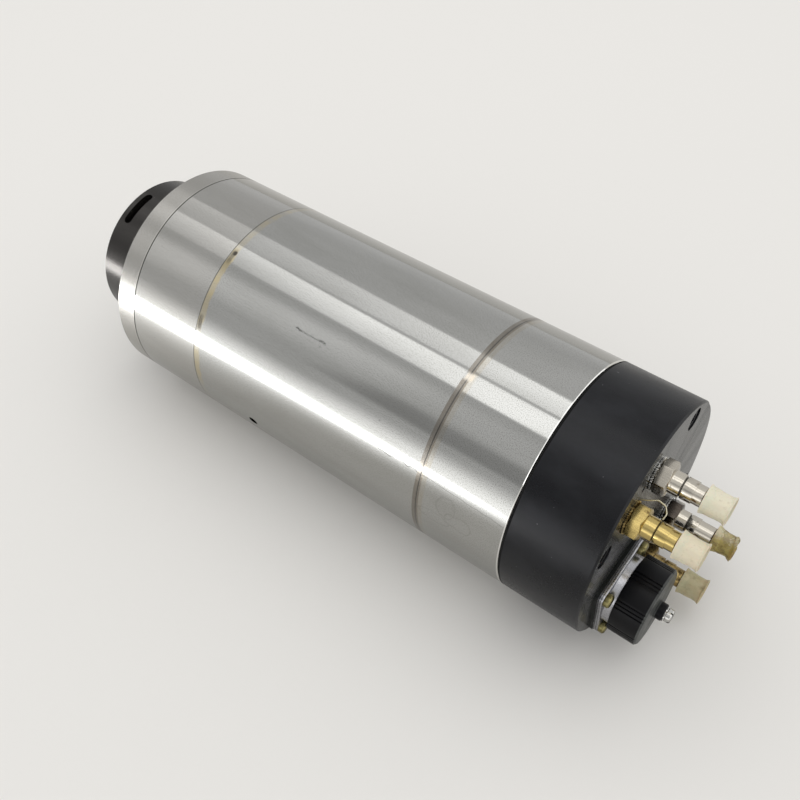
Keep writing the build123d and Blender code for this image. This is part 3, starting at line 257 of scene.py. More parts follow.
@dataclass(frozen=True)
class GroundSteel(Finish):
    """Stainless steel, ground round the axis and rubbed: sharp streaks along it, a speckled glint."""

    # Places along the axis, in millimetres.
    joint: float = 10.6
    weld_front: float = 48.9
    scuffed: float = 103.5
    weld_rear: float = 169.6
    scratched: float = 178.0
    scratch_half: float = 28.0
    rear_rim: float = 207.8
    # The faint loops behind the rear weld: place, degrees from the top, half length, half height in degrees.
    loops: tuple[tuple[float, ...], ...] = (
        (183.0, 79.0, 4.5, 5.5), (189.0, 84.0, 6.0, 4.0), (178.0, 88.0, 7.0, 3.0))

    def detail(self, skin: Skin) -> None:
        """Add grinding lines, speckle, heat tint at both welds, smudges, scuffs and a few specks.

        Args:
            skin: The material's skin.
        """
        on = Unrolled(skin.tree, skin.shader, skin.here)
        # Grit marks run round the body. They are drawn 0.25 mm apart, coarser than real ones, to show.
        lines = on.patches(on.stretched(0.25, 6), 1.0, rough=0.6)
        speckle = on.patches(on.flat, 0.40 * MM, 0.45, 0.75, detail=2.0, rough=0.7)
        cloud = on.patches(on.stretched(45, 9), 1.0, 0.35, 0.7, detail=5.0, rough=0.6)
        uneven = on.add("TexNoise", into={"Vector": on.flat, "Scale": 1 / (5 * MM), "Detail": 4.0,
                                          "Roughness": 0.6})
        ring = on.add("LESS_THAN", on.x, self.joint * MM)
        # The joint behind the front ring is dark, with a painted highlight on the edge before it.
        colour = on.painted(
            linear(self.colour), (cloud, 0.4, "#A9A9A5"), (speckle, 0.9, "#85847F"),
            (on.add("LESS_THAN", on.x, self.weld_front * MM), 0.10, "#BDB2A4"), (ring, 0.25, "#A8A39B"),
            (on.band(self.joint - 0.48, 0.14, 0.1), 0.35, "#DAD8D2"),
            (on.band(self.joint, 0.20, 0.14), 0.95, "#262420"))
        colour, tinted = self.front_weld(on, uneven, colour)
        colour, burnt = self.rear_weld(on, uneven, colour)
        marks = on.add("MINIMUM", on.total(self.burns(on, uneven), self.scuffs(on)), 0.92)
        specks = on.patches(on.flat, 2.2 * MM, 0.83, 0.85, detail=1.0)
        # The chamfer on the rear rim is painted near white: a painted highlight.
        rim = on.add("MapRange", on.x, (self.rear_rim - 0.75) * MM, (self.rear_rim - 0.65) * MM)
        colour = on.painted(colour, (marks, 1.0, "#3A3836"), (self.scratch(on), 1.0, "#5F5E5A"),
                            (specks, 0.85, "#2C2A27"), (rim, 1.0, "#F4F3EF"))
        rough = on.total(on.add("MULTIPLY_ADD", speckle, 0.04, self.roughness - 0.02),
                         on.overlap(cloud, 0.02), on.overlap(on.total(burnt, marks), 0.16),
                         on.overlap(tinted, 0.05), on.overlap(ring, 0.16))
        on.cover(colour, rough, on.total(on.overlap(lines, 0.4), on.overlap(speckle, 0.6)), 0.008, 0.22)

    def front_weld(self, on: Unrolled, uneven: Socket, colour: Socket) -> tuple[Socket, Socket]:
        """Draw the front weld's hairline and the straw heat tint behind it.

        Args:
            on: The unrolled skin.
            uneven: A noise that roughens edges.
            colour: The colour so far.

        Returns:
            The colour with them on it, and the tint's mask.
        """
        x = on.total(on.x, on.add("MULTIPLY_ADD", uneven, 2.4 * MM, -1.2 * MM))
        behind = on.add("GREATER_THAN", on.x, self.weld_front * MM)
        patchy = on.patches(on.stretched(30, 6), 1.0, 0.35, 0.7)
        amount = on.total(on.overlap(on.sector(40, 10, 16), 0.55), on.overlap(on.sector(86, 7, 9), 0.35),
                          on.overlap(patchy, 0.4), 0.12)
        tint = on.overlap(on.stripe(x, (self.weld_front + 1.5) * MM, 0.9 * MM, 1.4 * MM), behind, amount)
        hair = on.band(self.weld_front, 0.12, 0.25)
        return on.painted(colour, (tint, 0.85, "#C6B78F"), (hair, 0.7, "#5C5A53")), tint

    def rear_weld(self, on: Unrolled, uneven: Socket, colour: Socket) -> tuple[Socket, Socket]:
        """Draw the rear weld: a dark line with a brown-grey band before it and a tan one behind.

        Args:
            on: The unrolled skin.
            uneven: A noise that roughens edges.
            colour: The colour so far.

        Returns:
            The colour with them on it, and the brown band's mask.
        """
        shade = on.add("MULTIPLY_ADD", uneven, 0.6, 0.45)
        bands = on.total(on.band(self.weld_rear - 0.95, 0.65, 0.35), on.band(self.weld_rear + 0.6, 0.25, 0.4))
        # A glint where the bead catches the light above.
        spot = on.sector(21.5, 0.6, 2.2)
        away = on.add("SUBTRACT", 1.0, on.overlap(spot, 0.85))
        brown = on.overlap(on.add("MINIMUM", bands, 1.0), shade, away)
        x = on.total(on.x, on.add("MULTIPLY_ADD", uneven, 1.0 * MM, -0.5 * MM))
        tan = on.overlap(on.stripe(x, (self.weld_rear + 1.9) * MM, 0.6 * MM, 1.0 * MM), uneven)
        warm = on.overlap(spot, on.band(self.weld_rear + 0.5, 1.2, 0.8))
        dark = on.overlap(on.band(self.weld_rear, 0.13, 0.2), away)
        return on.painted(colour, (brown, 0.8, "#6E6252"), (tan, 0.45, "#A8997C"), (warm, 0.28, "#F1DDBF"),
                          (dark, 0.75, "#37322B")), brown

    def burns(self, on: Unrolled, uneven: Socket) -> Socket:
        """Mask the two burnt smears behind the front weld.

        Args:
            on: The unrolled skin.
            uneven: A noise that roughens edges.

        Returns:
            The mask.
        """
        across = on.band(self.weld_front + 1.5, 0.6, 0.9)
        dot = on.overlap(on.sector(22.4, 0.3, 1.1), on.band(self.weld_front + 2.1, 0.2, 0.9), 1.6)
        smears = on.total(on.overlap(on.sector(24.6, 1.8, 3.6), 0.95), on.sector(60.6, 2.4, 3.2))
        return on.overlap(on.total(on.overlap(across, smears), dot), on.add("MULTIPLY_ADD", uneven, 1.0, 0.2))

    def scuffs(self, on: Unrolled) -> Socket:
        """Mask the short row of dark scuffs on the jacket.

        Args:
            on: The unrolled skin.

        Returns:
            The mask.
        """
        wobble = on.add("TexNoise", into={"Vector": on.stretched(2.4, 100), "Scale": 1.0, "Detail": 2.0})
        angle = on.total(on.angle, on.add("MULTIPLY_ADD", wobble, radians(2.0), radians(-1.0)))
        row = on.overlap(on.band(self.scuffed, 7.4, 0.8),
                         on.stripe(angle, radians(39.3), radians(0.30), radians(0.35)))
        away = on.add("ABSOLUTE", on.add("SUBTRACT", on.x, self.scuffed * MM))
        level = on.add("TexNoise", into={"Vector": on.stretched(0.5, 0.35), "Scale": 1.0, "Detail": 2.0,
                                         "Roughness": 0.7})
        level = on.total(level, on.overlap(on.add("GREATER_THAN", away, 4.6 * MM), 0.07))
        return on.overlap(row, on.add("MapRange", level, 0.51, 0.59, **SMOOTH))

    def scratch(self, on: Unrolled) -> Socket:
        """Mask the wavy scratch over the rear weld and the faint loops behind it.

        Args:
            on: The unrolled skin.

        Returns:
            The mask.
        """
        wave = on.add("TexNoise", into={"Vector": on.stretched(7, 200), "Scale": 1.0, "Detail": 2.0,
                                        "Roughness": 0.6})
        # The scratch waves before the weld and runs nearly straight behind it.
        calm = on.add("MapRange", on.x, (self.weld_rear - 3) * MM, (self.weld_rear + 3) * MM, 1.0, 0.25)
        swing = on.overlap(on.add("MULTIPLY_ADD", wave, radians(5.6), radians(-2.8)), calm)
        start = (self.scratched - self.scratch_half) * MM
        slope = on.overlap(on.add("SUBTRACT", on.x, start), radians(-0.045) / MM)
        line = on.overlap(
            on.band(self.scratched, self.scratch_half, 3),
            on.stripe(on.total(on.angle, swing, slope), radians(68.4), radians(0.11), radians(0.2)),
            on.add("MapRange", on.x, (self.weld_rear - 2) * MM, (self.weld_rear + 4) * MM, 0.7, 0.3))
        loops = 0.0
        for place, turn, wide, tall in self.loops:
            along = on.add("DIVIDE", on.add("SUBTRACT", on.x, place * MM), wide * MM)
            around = on.add("DIVIDE", on.add("SUBTRACT", on.angle, radians(turn)), radians(tall))
            away = on.add("SQRT", on.total(on.overlap(along, along), on.overlap(around, around)))
            away = on.total(away, on.add("MULTIPLY_ADD", wave, 1.3, -0.65))
            loops = on.add("MAXIMUM", loops, on.stripe(away, 1.0, 0.02, 0.10))
        return on.add("MAXIMUM", line, on.overlap(loops, 0.16))


@dataclass(frozen=True)
class SatinBlack(Finish):
    """Black anodised aluminium, turned: a soft sheen, paler where it has been handled."""

    turning_mm: float = 0.45
    # Places along the axis, in millimetres.
    front_rim: float = 207.8
    end_face: float = 242.1

    def detail(self, skin: Skin) -> None:
        """Add handling marks, faint tool rings on the end face, a few specks and the shadowed joint.

        Args:
            skin: The material's skin.
        """
        on = Unrolled(skin.tree, skin.shader, skin.here)
        cloud = on.patches(on.stretched(26, 16), 1.0, 0.40, 0.75, detail=5.0, rough=0.6)
        fine = on.patches(on.here, 0.9 * MM, 0.3, 0.8, rough=0.7)
        specks = on.patches(on.here, 1.9 * MM, 0.79, 0.82, detail=1.0)
        face = on.add("MapRange", on.x, (self.end_face - 0.2) * MM, (self.end_face - 0.05) * MM)
        gap = on.add("MapRange", on.x, (self.front_rim + 1.0) * MM, (self.front_rim + 0.8) * MM)
        rubbed = on.overlap(face, on.patches(on.here, 9 * MM, 0.35, 0.75, detail=4.0))
        colour = on.painted(linear(self.colour), (cloud, 1.0, "#1B1C20"), (specks, 0.5, "#77777A"),
                            (face, 0.40, "#2F302D"), (rubbed, 0.28, "#55574F"), (gap, 1.0, "#020202"))
        rough = on.total(on.add("MULTIPLY_ADD", cloud, 0.12, self.roughness - 0.06),
                         on.overlap(gap, 0.6), on.overlap(fine, 0.04), on.overlap(face, -0.08))
        rings = on.add("SINE", on.overlap(on.out, tau / (self.turning_mm * MM)))
        on.cover(colour, rough, on.total(fine, on.overlap(rings, 0.35)), 0.012, 0.3)


@dataclass(frozen=True)
class TurnedMetal(Finish):
    """A lathe-turned or plated piece: fine rings across the axis, dirt in patches, dark grooves."""

    metallic: float = 1.0
    ring_mm: float = 0.2
    stain: str = "#6B5B3E"
    stained: Span = (0.62, 0.72)
    stain_mm: float = 3.0
    grooves_mm: tuple[float, ...] = ()
    # Where a hexagon ends along the axis, in metres. A piece without one has 0.
    hexagon_to: float = 0.0
    oil_and_shade: float = 0.0

    def detail(self, skin: Skin) -> None:
        """Add tool rings, patches of stain, an uneven polish and the shadow in each groove.

        Args:
            skin: The material's skin.
        """
        x, y, z = (skin.add("SeparateXYZ", skin.here, out=axis) for axis in "XYZ")
        rings = skin.add("SINE", skin.overlap(x, tau / (self.ring_mm * MM)))
        fine = skin.patches(skin.here, 0.5 * MM, detail=2.0)
        stain = skin.patches(skin.here, self.stain_mm * MM, *self.stained, detail=4.0, rough=0.6)
        # Drawn hexagon bar: lines along the axis, and too rough to mirror its neighbours.
        drawn = skin.add("LESS_THAN", x, self.hexagon_to)
        drawn_out = skin.add("CombineXYZ", skin.overlap(x, 0.06), y, z)
        streaks = skin.patches(drawn_out, 0.45 * MM, 0.25, 0.75, detail=2.0)
        colour = skin.painted(linear(self.colour), (stain, 0.9, self.stain),
                              (skin.overlap(drawn, streaks), 0.22, self.stain))
        rough = skin.total(skin.add("MULTIPLY_ADD", fine, 0.08, self.roughness - 0.04),
                           skin.overlap(stain, 0.25), skin.overlap(drawn, 0.08))
        # Dark brown patches on the hexagon: baked-on oil and painted shade where facets turn from the light.
        if self.oil_and_shade > 0:
            baked_and_shaded = skin.overlap(drawn, skin.patches(skin.here, 7 * MM, 0.40, 0.48))
            colour = skin.painted(colour, (baked_and_shaded, self.oil_and_shade, "#2B211C"))
        for groove in self.grooves_mm:
            shade = skin.stripe(x, groove * MM, 0.24 * MM, 0.10 * MM)
            colour = skin.painted(colour, (shade, 0.85, "#15120D"))
            rough = skin.total(rough, skin.overlap(shade, 0.3))
        height = skin.total(skin.overlap(rings, 0.3), fine, skin.overlap(drawn, streaks, 3.0))
        skin.cover(colour, rough, height, 0.01, 0.3)


@dataclass(frozen=True)
class SoftPlastic(Finish):
    """Soft polyethylene, blow-moulded: waxy and translucent, dirty from handling."""

    stain: str = "#8A744A"
    stained: Span = (0.60, 0.75)
    creased: float = 0.28
    crease: str = "#9C8E6C"
    # The height, in metres, above which painted light makes the top paler. Nothing is as high as 1.
    painted_light_above: float = 1.0
    # The caps' rim along the axis.
    end: float = 273.4 * MM

    def detail(self, skin: Skin) -> None:
        """Add yellowing, patchy dirt, creases, painted light on top, painted shade at the rim and slight
        dents.

        Args:
            skin: The material's skin.
        """
        x, z = (skin.add("SeparateXYZ", skin.here, out=axis) for axis in "XZ")
        stain = skin.patches(skin.here, 4.5 * MM, *self.stained, detail=5.0, rough=0.65)
        veins = skin.patches(skin.here, 1.5 * MM, 0.50, 0.80, rough=0.6, twist=1.5)
        wavy = skin.total(z, skin.add("MULTIPLY_ADD", veins, 2.5 * MM, -1.0 * MM))
        edge = self.painted_light_above
        # Paler above a height: painted light from above.
        painted_light = skin.add("MapRange", wavy, edge - 1 * MM, edge + 1.5 * MM, **SMOOTH)
        # A dark line round the end's rim: painted shade where the end is sunken.
        rim_shade = skin.overlap(skin.stripe(x, self.end, 0.12 * MM, 0.40 * MM),
                            skin.add("MULTIPLY_ADD", veins, 0.6, 0.4))
        colour = skin.painted(linear(self.colour), (stain, 0.85, self.stain),
                              (veins, self.creased, self.crease), (painted_light, 0.8, "#DCD3B6"),
                              (rim_shade, 0.6, self.crease))
        rough = skin.add("MULTIPLY_ADD", veins, 0.15, self.roughness - 0.07)
        skin.cover(colour, rough, skin.total(stain, skin.overlap(veins, 0.4)), 0.10, 0.5)
        skin.shader.inputs["Subsurface Weight"].default_value = 0.15
        skin.shader.inputs["Subsurface Scale"].default_value = 1.0 * MM


@dataclass(frozen=True)
class CastMetal(Finish):
    """Die-cast zinc: a pebbled skin, a parting line, and dirt in the corner round the shell's foot."""

    partings_mm: tuple[float, ...] = (243.95, 244.75)
    foot: float = 245.6 * MM

    def detail(self, skin: Skin) -> None:
        """Add the casting's skin, its dark parting lines and the dirt round the shell's foot.

        Args:
            skin: The material's skin.
        """
        x = skin.add("SeparateXYZ", skin.here, out="X")
        pebbles = skin.patches(skin.here, 0.8 * MM, detail=4.0, rough=0.65)
        dirt = skin.add("TexNoise", into={"Vector": skin.here, "Scale": 1 / (2.2 * MM), "Detail": 5.0,
                                          "Roughness": 0.65})
        low = skin.add("MapRange", x, self.foot + 0.9 * MM, self.foot + 0.1 * MM)
        grime = skin.add("MapRange", skin.total(dirt, skin.overlap(low, 0.10)), 0.66, 0.76, **SMOOTH)
        lines = [skin.stripe(x, parting * MM, 0.07 * MM, 0.08 * MM) for parting in self.partings_mm]
        colour = skin.painted(linear(self.colour), (grime, 0.38, "#63625B"),
                              *((line, 0.85, "#2B2D28") for line in lines))
        rough = skin.total(skin.add("MULTIPLY_ADD", pebbles, 0.10, self.roughness - 0.05),
                           skin.overlap(grime, 0.2))
        skin.cover(colour, rough, pebbles, 0.03, 0.4)


@dataclass(frozen=True)
class MouldedNylon(Finish):
    """Black moulded nylon: near-black sides, a greyer chafed end."""

    chafed: str = "#4F514F"
    end_face: float = 261.0 * MM

    def detail(self, skin: Skin) -> None:
        """Add the chafed end and a fine moulded skin.

        Args:
            skin: The material's skin.
        """
        x = skin.add("SeparateXYZ", skin.here, out="X")
        fine = skin.patches(skin.here, 0.5 * MM, rough=0.6)
        cloud = skin.patches(skin.here, 5 * MM, detail=4.0, rough=0.6)
        end = skin.overlap(skin.stripe(x, self.end_face, 0.7 * MM, 0.15 * MM),
                           skin.add("MULTIPLY_ADD", cloud, 0.5, 0.5))
        skin.cover(skin.painted(linear(self.colour), (end, 1.0, self.chafed)),
                   skin.add("MULTIPLY_ADD", fine, 0.1, self.roughness - 0.05), fine, 0.01, 0.3)


class Finishes(Enum):
    """Every finish on the spindle."""

    # Bright but never mirror-sharp: lamps show as long bands with clean edges and a sparkle in them.
    STEEL = GroundSteel("ground_stainless_steel", "#BABAB7", 0.085, 1.0)
    # Almost black, with one soft vertical sheen where it faces the light.
    BLUED = TurnedMetal("blued_tool_steel", "#43413F", 0.09, 0.9, ring_mm=0.3, stain="#2A2928",
                        stained=(0.60, 0.95), stain_mm=8.0)
    # Darker and calmer than the body, with hardly a mark.
    HARDENED = TurnedMetal("hardened_ground_steel", "#A6A49F", 0.16)
    # Deep charcoal whose broad, dull highlights show the turning.
    BLACK = SatinBlack("black_anodised_aluminium", "#0D0E12", 0.32, 0.0, 0.27)
    # Black screw heads with a greasy edge.
    OXIDE = TurnedMetal("black_oxide_steel", "#2B2B2C", 0.38, 0.7, ring_mm=0.3, stain="#55524C",
                        stained=(0.60, 0.80), stain_mm=2.0)
    # Warm silver, hard contrasts, a little brown where the plating has worn.
    NICKEL = TurnedMetal("nickel_plated_brass", "#C6C0B4", 0.15, ring_mm=0.6, stain="#6D6250",
                         stained=(0.62, 0.80), stain_mm=2.4, grooves_mm=(252.4,), hexagon_to=248.2 * MM)
    # The same, its hexagon dark brown in patches: baked-on oil and painted shade.
    NICKEL_OLD = replace(NICKEL, name="oil_baked_nickel_plate", colour="#C2BCB0", roughness=0.16, oil_and_shade=0.9)
    # Pale yellow with dark brown spots of old flux.
    BRASS = replace(NICKEL, name="turned_brass", colour="#C2AC6E", roughness=0.18, stain="#4E331E",
                    stained=(0.60, 0.72), stain_mm=3.6)
    # Brown-yellow and dull, tarnished all over.
    BRASS_DULL = TurnedMetal("tarnished_brass", "#A08B5C", 0.28, ring_mm=0.4, stain="#3B2E1B",
                             stained=(0.50, 0.66), stain_mm=1.8)
    # Clean pale grey with a fine skin, and grime only where a cloth can't reach.
    DIE_CAST = CastMetal("die_cast_zinc", "#B4B4B8", 0.30, 1.0)
    # Sharp little glints.
    BRIGHT_SCREW = TurnedMetal("zinc_plated_steel", "#C9C8C4", 0.18, stain="#6D6A60", stained=(0.60, 0.80),
                               stain_mm=1.4)
    # Olive-yellow passivation, mostly dulled.
    YELLOW_SCREW = TurnedMetal("yellow_zinc_screw", "#938B60", 0.38, stain="#4A4528", stained=(0.50, 0.66),
                               stain_mm=1.2)
    # Dull black with a green cast.
    RUBBER = Finish("nitrile_rubber", "#0E1210", 0.42, 0.0, 0.3)
    # The darkest thing there, except its worn end.
    MOULDED = MouldedNylon("black_moulded_nylon", "#060609", 0.38, 0.0, 0.20)
    # Waxy cream, nearly clean.
    CAP_A = SoftPlastic("cream_polyethylene", "#E2DBC3", 0.5, stain="#B5A88A", stained=(0.58, 0.80))
    # The palest, with a grey smudge or two.
    CAP_B = SoftPlastic("pale_polyethylene", "#DED4BA", 0.5, stain="#B4A88C", stained=(0.62, 0.80))
    # Crumpled and soaked with old oil, brown in the folds, with painted light on its top.
    CAP_C = SoftPlastic("oil_stained_polyethylene", "#B0A05C", 0.45, stain="#6F5B28", stained=(0.42, 0.62),
                        creased=0.85, crease="#553F18", painted_light_above=-20.0 * MM)
    # Beige, speckled with dirt.
    CAP_D = SoftPlastic("beige_polyethylene", "#BDB28D", 0.5, stain="#8F8460", stained=(0.50, 0.74))
    # Darker brown on the floors of the sunken ends: painted shade.
    CAP_RECESS_SHADE = SoftPlastic("shaded_polyethylene_recess", "#A8987A", 0.55, stain="#5B4E39", stained=(0.35, 0.60),
                           creased=0.5, crease="#4A3F2E")
    # Pale grey metal, softly lit.
    ALUMINIUM = Finish("machined_aluminium", "#C5C6C8", 0.3, 1.0)
    # Orange-brown wire under clear varnish.
    COPPER = Finish("enamelled_copper", "#A8583A", 0.35, 0.9)
    # Dull blue-grey sheet edges.
    LAMINATION = Finish("electrical_steel", "#7D7F82", 0.42, 1.0)
    # Clean yellow points of light.
    GOLD = Finish("gold_plated_brass", "#D9B45A", 0.2, 1.0)
    # Tan, matt and slightly fibrous.
    CAGE = Finish("fabric_phenolic", "#A5793F", 0.5)
    # Thin pale wire that shines along its top.
    WIRE = Finish("tinned_steel_wire", "#CFC8AE", 0.25, 1.0)

    def dress(self, *pieces: Piece) -> None:
        """Give pieces this finish in place of what they have.

        Args:
            pieces: The pieces to dress.
        """
        made = self.value.make()
        for piece in pieces:
            piece.data.materials.clear()
            piece.data.materials.append(made)


# ---- Modelling helpers ----
def deselect() -> None:
    """Leave object mode with nothing selected."""
    if bpy.context.object and bpy.context.object.mode != "OBJECT":
        bpy.ops.object.mode_set(mode="OBJECT")
    bpy.ops.object.select_all(action="DESELECT")


def select_only(piece: Piece) -> None:
    """Make one object the selected and active one.

    Args:
        piece: The object.
    """
    deselect()
    piece.select_set(True)
    bpy.context.view_layer.objects.active = piece


@contextmanager
def editing(piece: Piece) -> Iterator[None]:
    """Hold a piece in edit mode, alone.

    Args:
        piece: The object.

    Yields:
        Nothing, once while it is in edit mode.
    """
    select_only(piece)
    bpy.ops.object.mode_set(mode="EDIT")
    yield
    bpy.ops.object.mode_set(mode="OBJECT")


def pick(piece: Piece, kind: str, wanted: Callable[..., bool]) -> None:
    """Select some of a piece's faces or corners in edit mode, by their place or normal.

    Args:
        piece: The object, in edit mode.
        kind: "FACE" or "VERT".
        wanted: Says of each whether it is one of them.
    """
    bpy.ops.mesh.select_mode(type=kind)
    bpy.ops.mesh.select_all(action="DESELECT")
    mesh = bmesh.from_edit_mesh(piece.data)
    for element in mesh.faces if kind == "FACE" else mesh.verts:
        element.select_set(wanted(element))
    bmesh.update_edit_mesh(piece.data)


def rounded(piece: Piece, width: float, sharper_than: float) -> None:
    """Give a piece a bevel modifier on its sharp edges.

    Args:
        piece: The object.
        width: The bevel's width, in metres.
        sharper_than: The least angle of an edge that gets it, in degrees.
    """
    bevel = piece.modifiers.new("rounded", "BEVEL")
    bevel.width = width
    bevel.segments = 2
    bevel.limit_method = "ANGLE"
    bevel.angle_limit = radians(sharper_than)


def apply_all(piece: Piece) -> None:
    """Apply a piece's modifiers in their order.

    Args:
        piece: The object.
    """
    select_only(piece)
    for modifier in list(piece.modifiers):
        bpy.ops.object.modifier_apply(modifier=modifier.name)


def settle(piece: Piece, name: str, body: str) -> None:
    """Name a finished piece, put its place into its mesh and let it ride on a body.

    Args:
        piece: The finished object.
        name: Its name.
        body: The frame's body that it moves with.
    """
    select_only(piece)
    bpy.ops.object.transform_apply(location=True, rotation=True, scale=True)
    piece.name = name
    piece.data.name = name
    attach(piece, body)


def copy_at(piece: Piece, shift: Vector) -> Piece:
    """Copy a modelled piece, with a mesh of its own, to another place.

    Args:
        piece: The object to copy.
        shift: How far the copy is moved.

    Returns:
        The copy.
    """
    select_only(piece)
    bpy.ops.object.duplicate(linked=False)
    bpy.ops.transform.translate(value=shift)
    return bpy.context.object


def dress_nodes(finish: Finishes, *nodes: str) -> None:
    """Give machined pieces of the frame a finish.

    Args:
        finish: The finish.
        nodes: The pieces' names.
    """
    for name in nodes:
        finish.dress(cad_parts[name])
        log.info("%s: %s", name, finish.value.name)


def stand_in(node: str) -> Piece:
    """Copy a machined piece and merge its loose triangles.

    Args:
        node: The machined piece.

    Returns:
        The copy.
    """
    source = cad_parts[node]
    piece = source.copy()
    piece.data = source.data.copy()
    piece.parent = None
    bpy.context.scene.collection.objects.link(piece)
    with editing(piece):
        bpy.ops.mesh.select_all(action="SELECT")
        bpy.ops.mesh.remove_doubles(threshold=0.001 * MM)
        bpy.ops.mesh.dissolve_limited(angle_limit=radians(0.5))
    if piece.data.has_custom_normals:
        bpy.ops.mesh.customdata_custom_splitnormals_clear()
    return piece


def ease_edges(node: str, width: float, body: str = "housing") -> Piece:
    """Put a copy with softened edges in a machined piece's place.

    Args:
        node: The machined piece.
        width: The width of the softened edges, in metres.
        body: The body that the piece moves with.

    Returns:
        The copy.
    """
    piece = stand_in(node)
    rounded(piece, width, 32)
    apply_all(piece)
    bpy.ops.object.shade_smooth_by_angle(angle=radians(30))
    settle(piece, node + "_eased", body)
    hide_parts(node)
    log.info("%s: edges eased by %.2f mm", node, width / MM)
    return piece


# ---- Sub-assemblies ----
@dataclass
class SteelBody:
    """The welded steel housing with its ring of cover screws."""

    shells: tuple[str, ...] = ("front_cover", "front_housing", "stator_jacket", "rear_housing")

    def build(self) -> None:
        """Dress the shells and their screws."""
        dress_nodes(Finishes.STEEL, *self.shells)
        dress_nodes(Finishes.OXIDE, "front_cover_screws")


@dataclass
class Nose:
    """The blued ring, the shaft's nose and the collet in it."""

    ground: tuple[str, ...] = ("shaft", "collet")

    def build(self) -> None:
        """Dress the ring, its screws and what turns inside it."""
        dress_nodes(Finishes.BLUED, "nose_ring")
        dress_nodes(Finishes.OXIDE, "nose_ring_screws")
        dress_nodes(Finishes.HARDENED, *self.ground)


@dataclass
class InnerWorks:
    """Everything that the closed housing hides."""

    # Each spring's seat at its front end and what presses on its rear end.
    pressed: dict[str, tuple[str, str]] = field(default_factory=lambda: {
        "piston_return_springs": ("housing", "release_piston"),
        "disc_springs": ("rotor", "drawbar"),
    })

    def build(self) -> None:
        """Dress motor, bearings, drawbar and release cylinder."""
        self.springs()
        dress_nodes(Finishes.LAMINATION, "stator_core", "rotor_core")
        dress_nodes(Finishes.COPPER, "stator_windings")
        dress_nodes(Finishes.ALUMINIUM, "rotor_end_rings", "cooling_sleeve", "release_cylinder",
                    "cylinder_head", "release_piston", "transfer_pipes")
        dress_nodes(Finishes.HARDENED, "front_bearing_outer_rings", "front_bearing_inner_rings",
                    "front_bearing_balls", "rear_bearing_outer_ring", "rear_bearing_inner_ring",
                    "rear_bearing_balls", "outer_spacer", "inner_spacer", "front_locknut",
                    "rear_locknut", "preload_spring", "drawbar", "drawbar_head")
        dress_nodes(Finishes.CAGE, "front_bearing_cages", "rear_bearing_cage")
        dress_nodes(Finishes.OXIDE, "cylinder_screws")
        dress_nodes(Finishes.RUBBER, "jacket_seals", "piston_seal")

    def springs(self) -> None:
        """Put a dressed, smooth-shaded copy in place of each spring."""
        for node, (seat, presser) in self.pressed.items():
            piece = stand_in(node)
            piece.name = node + "_pressed"
            piece.data.name = piece.name
            Finishes.HARDENED.dress(piece)
            bpy.ops.object.shade_smooth_by_angle(angle=radians(30))
            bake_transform(piece)
            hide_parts(node)


@dataclass
class RearCover:
    """The black cover and its screws."""

    def build(self) -> None:
        """Dress the cover and its screws."""
        dress_nodes(Finishes.BLACK, "rear_cover")
        dress_nodes(Finishes.OXIDE, "rear_cover_screws")


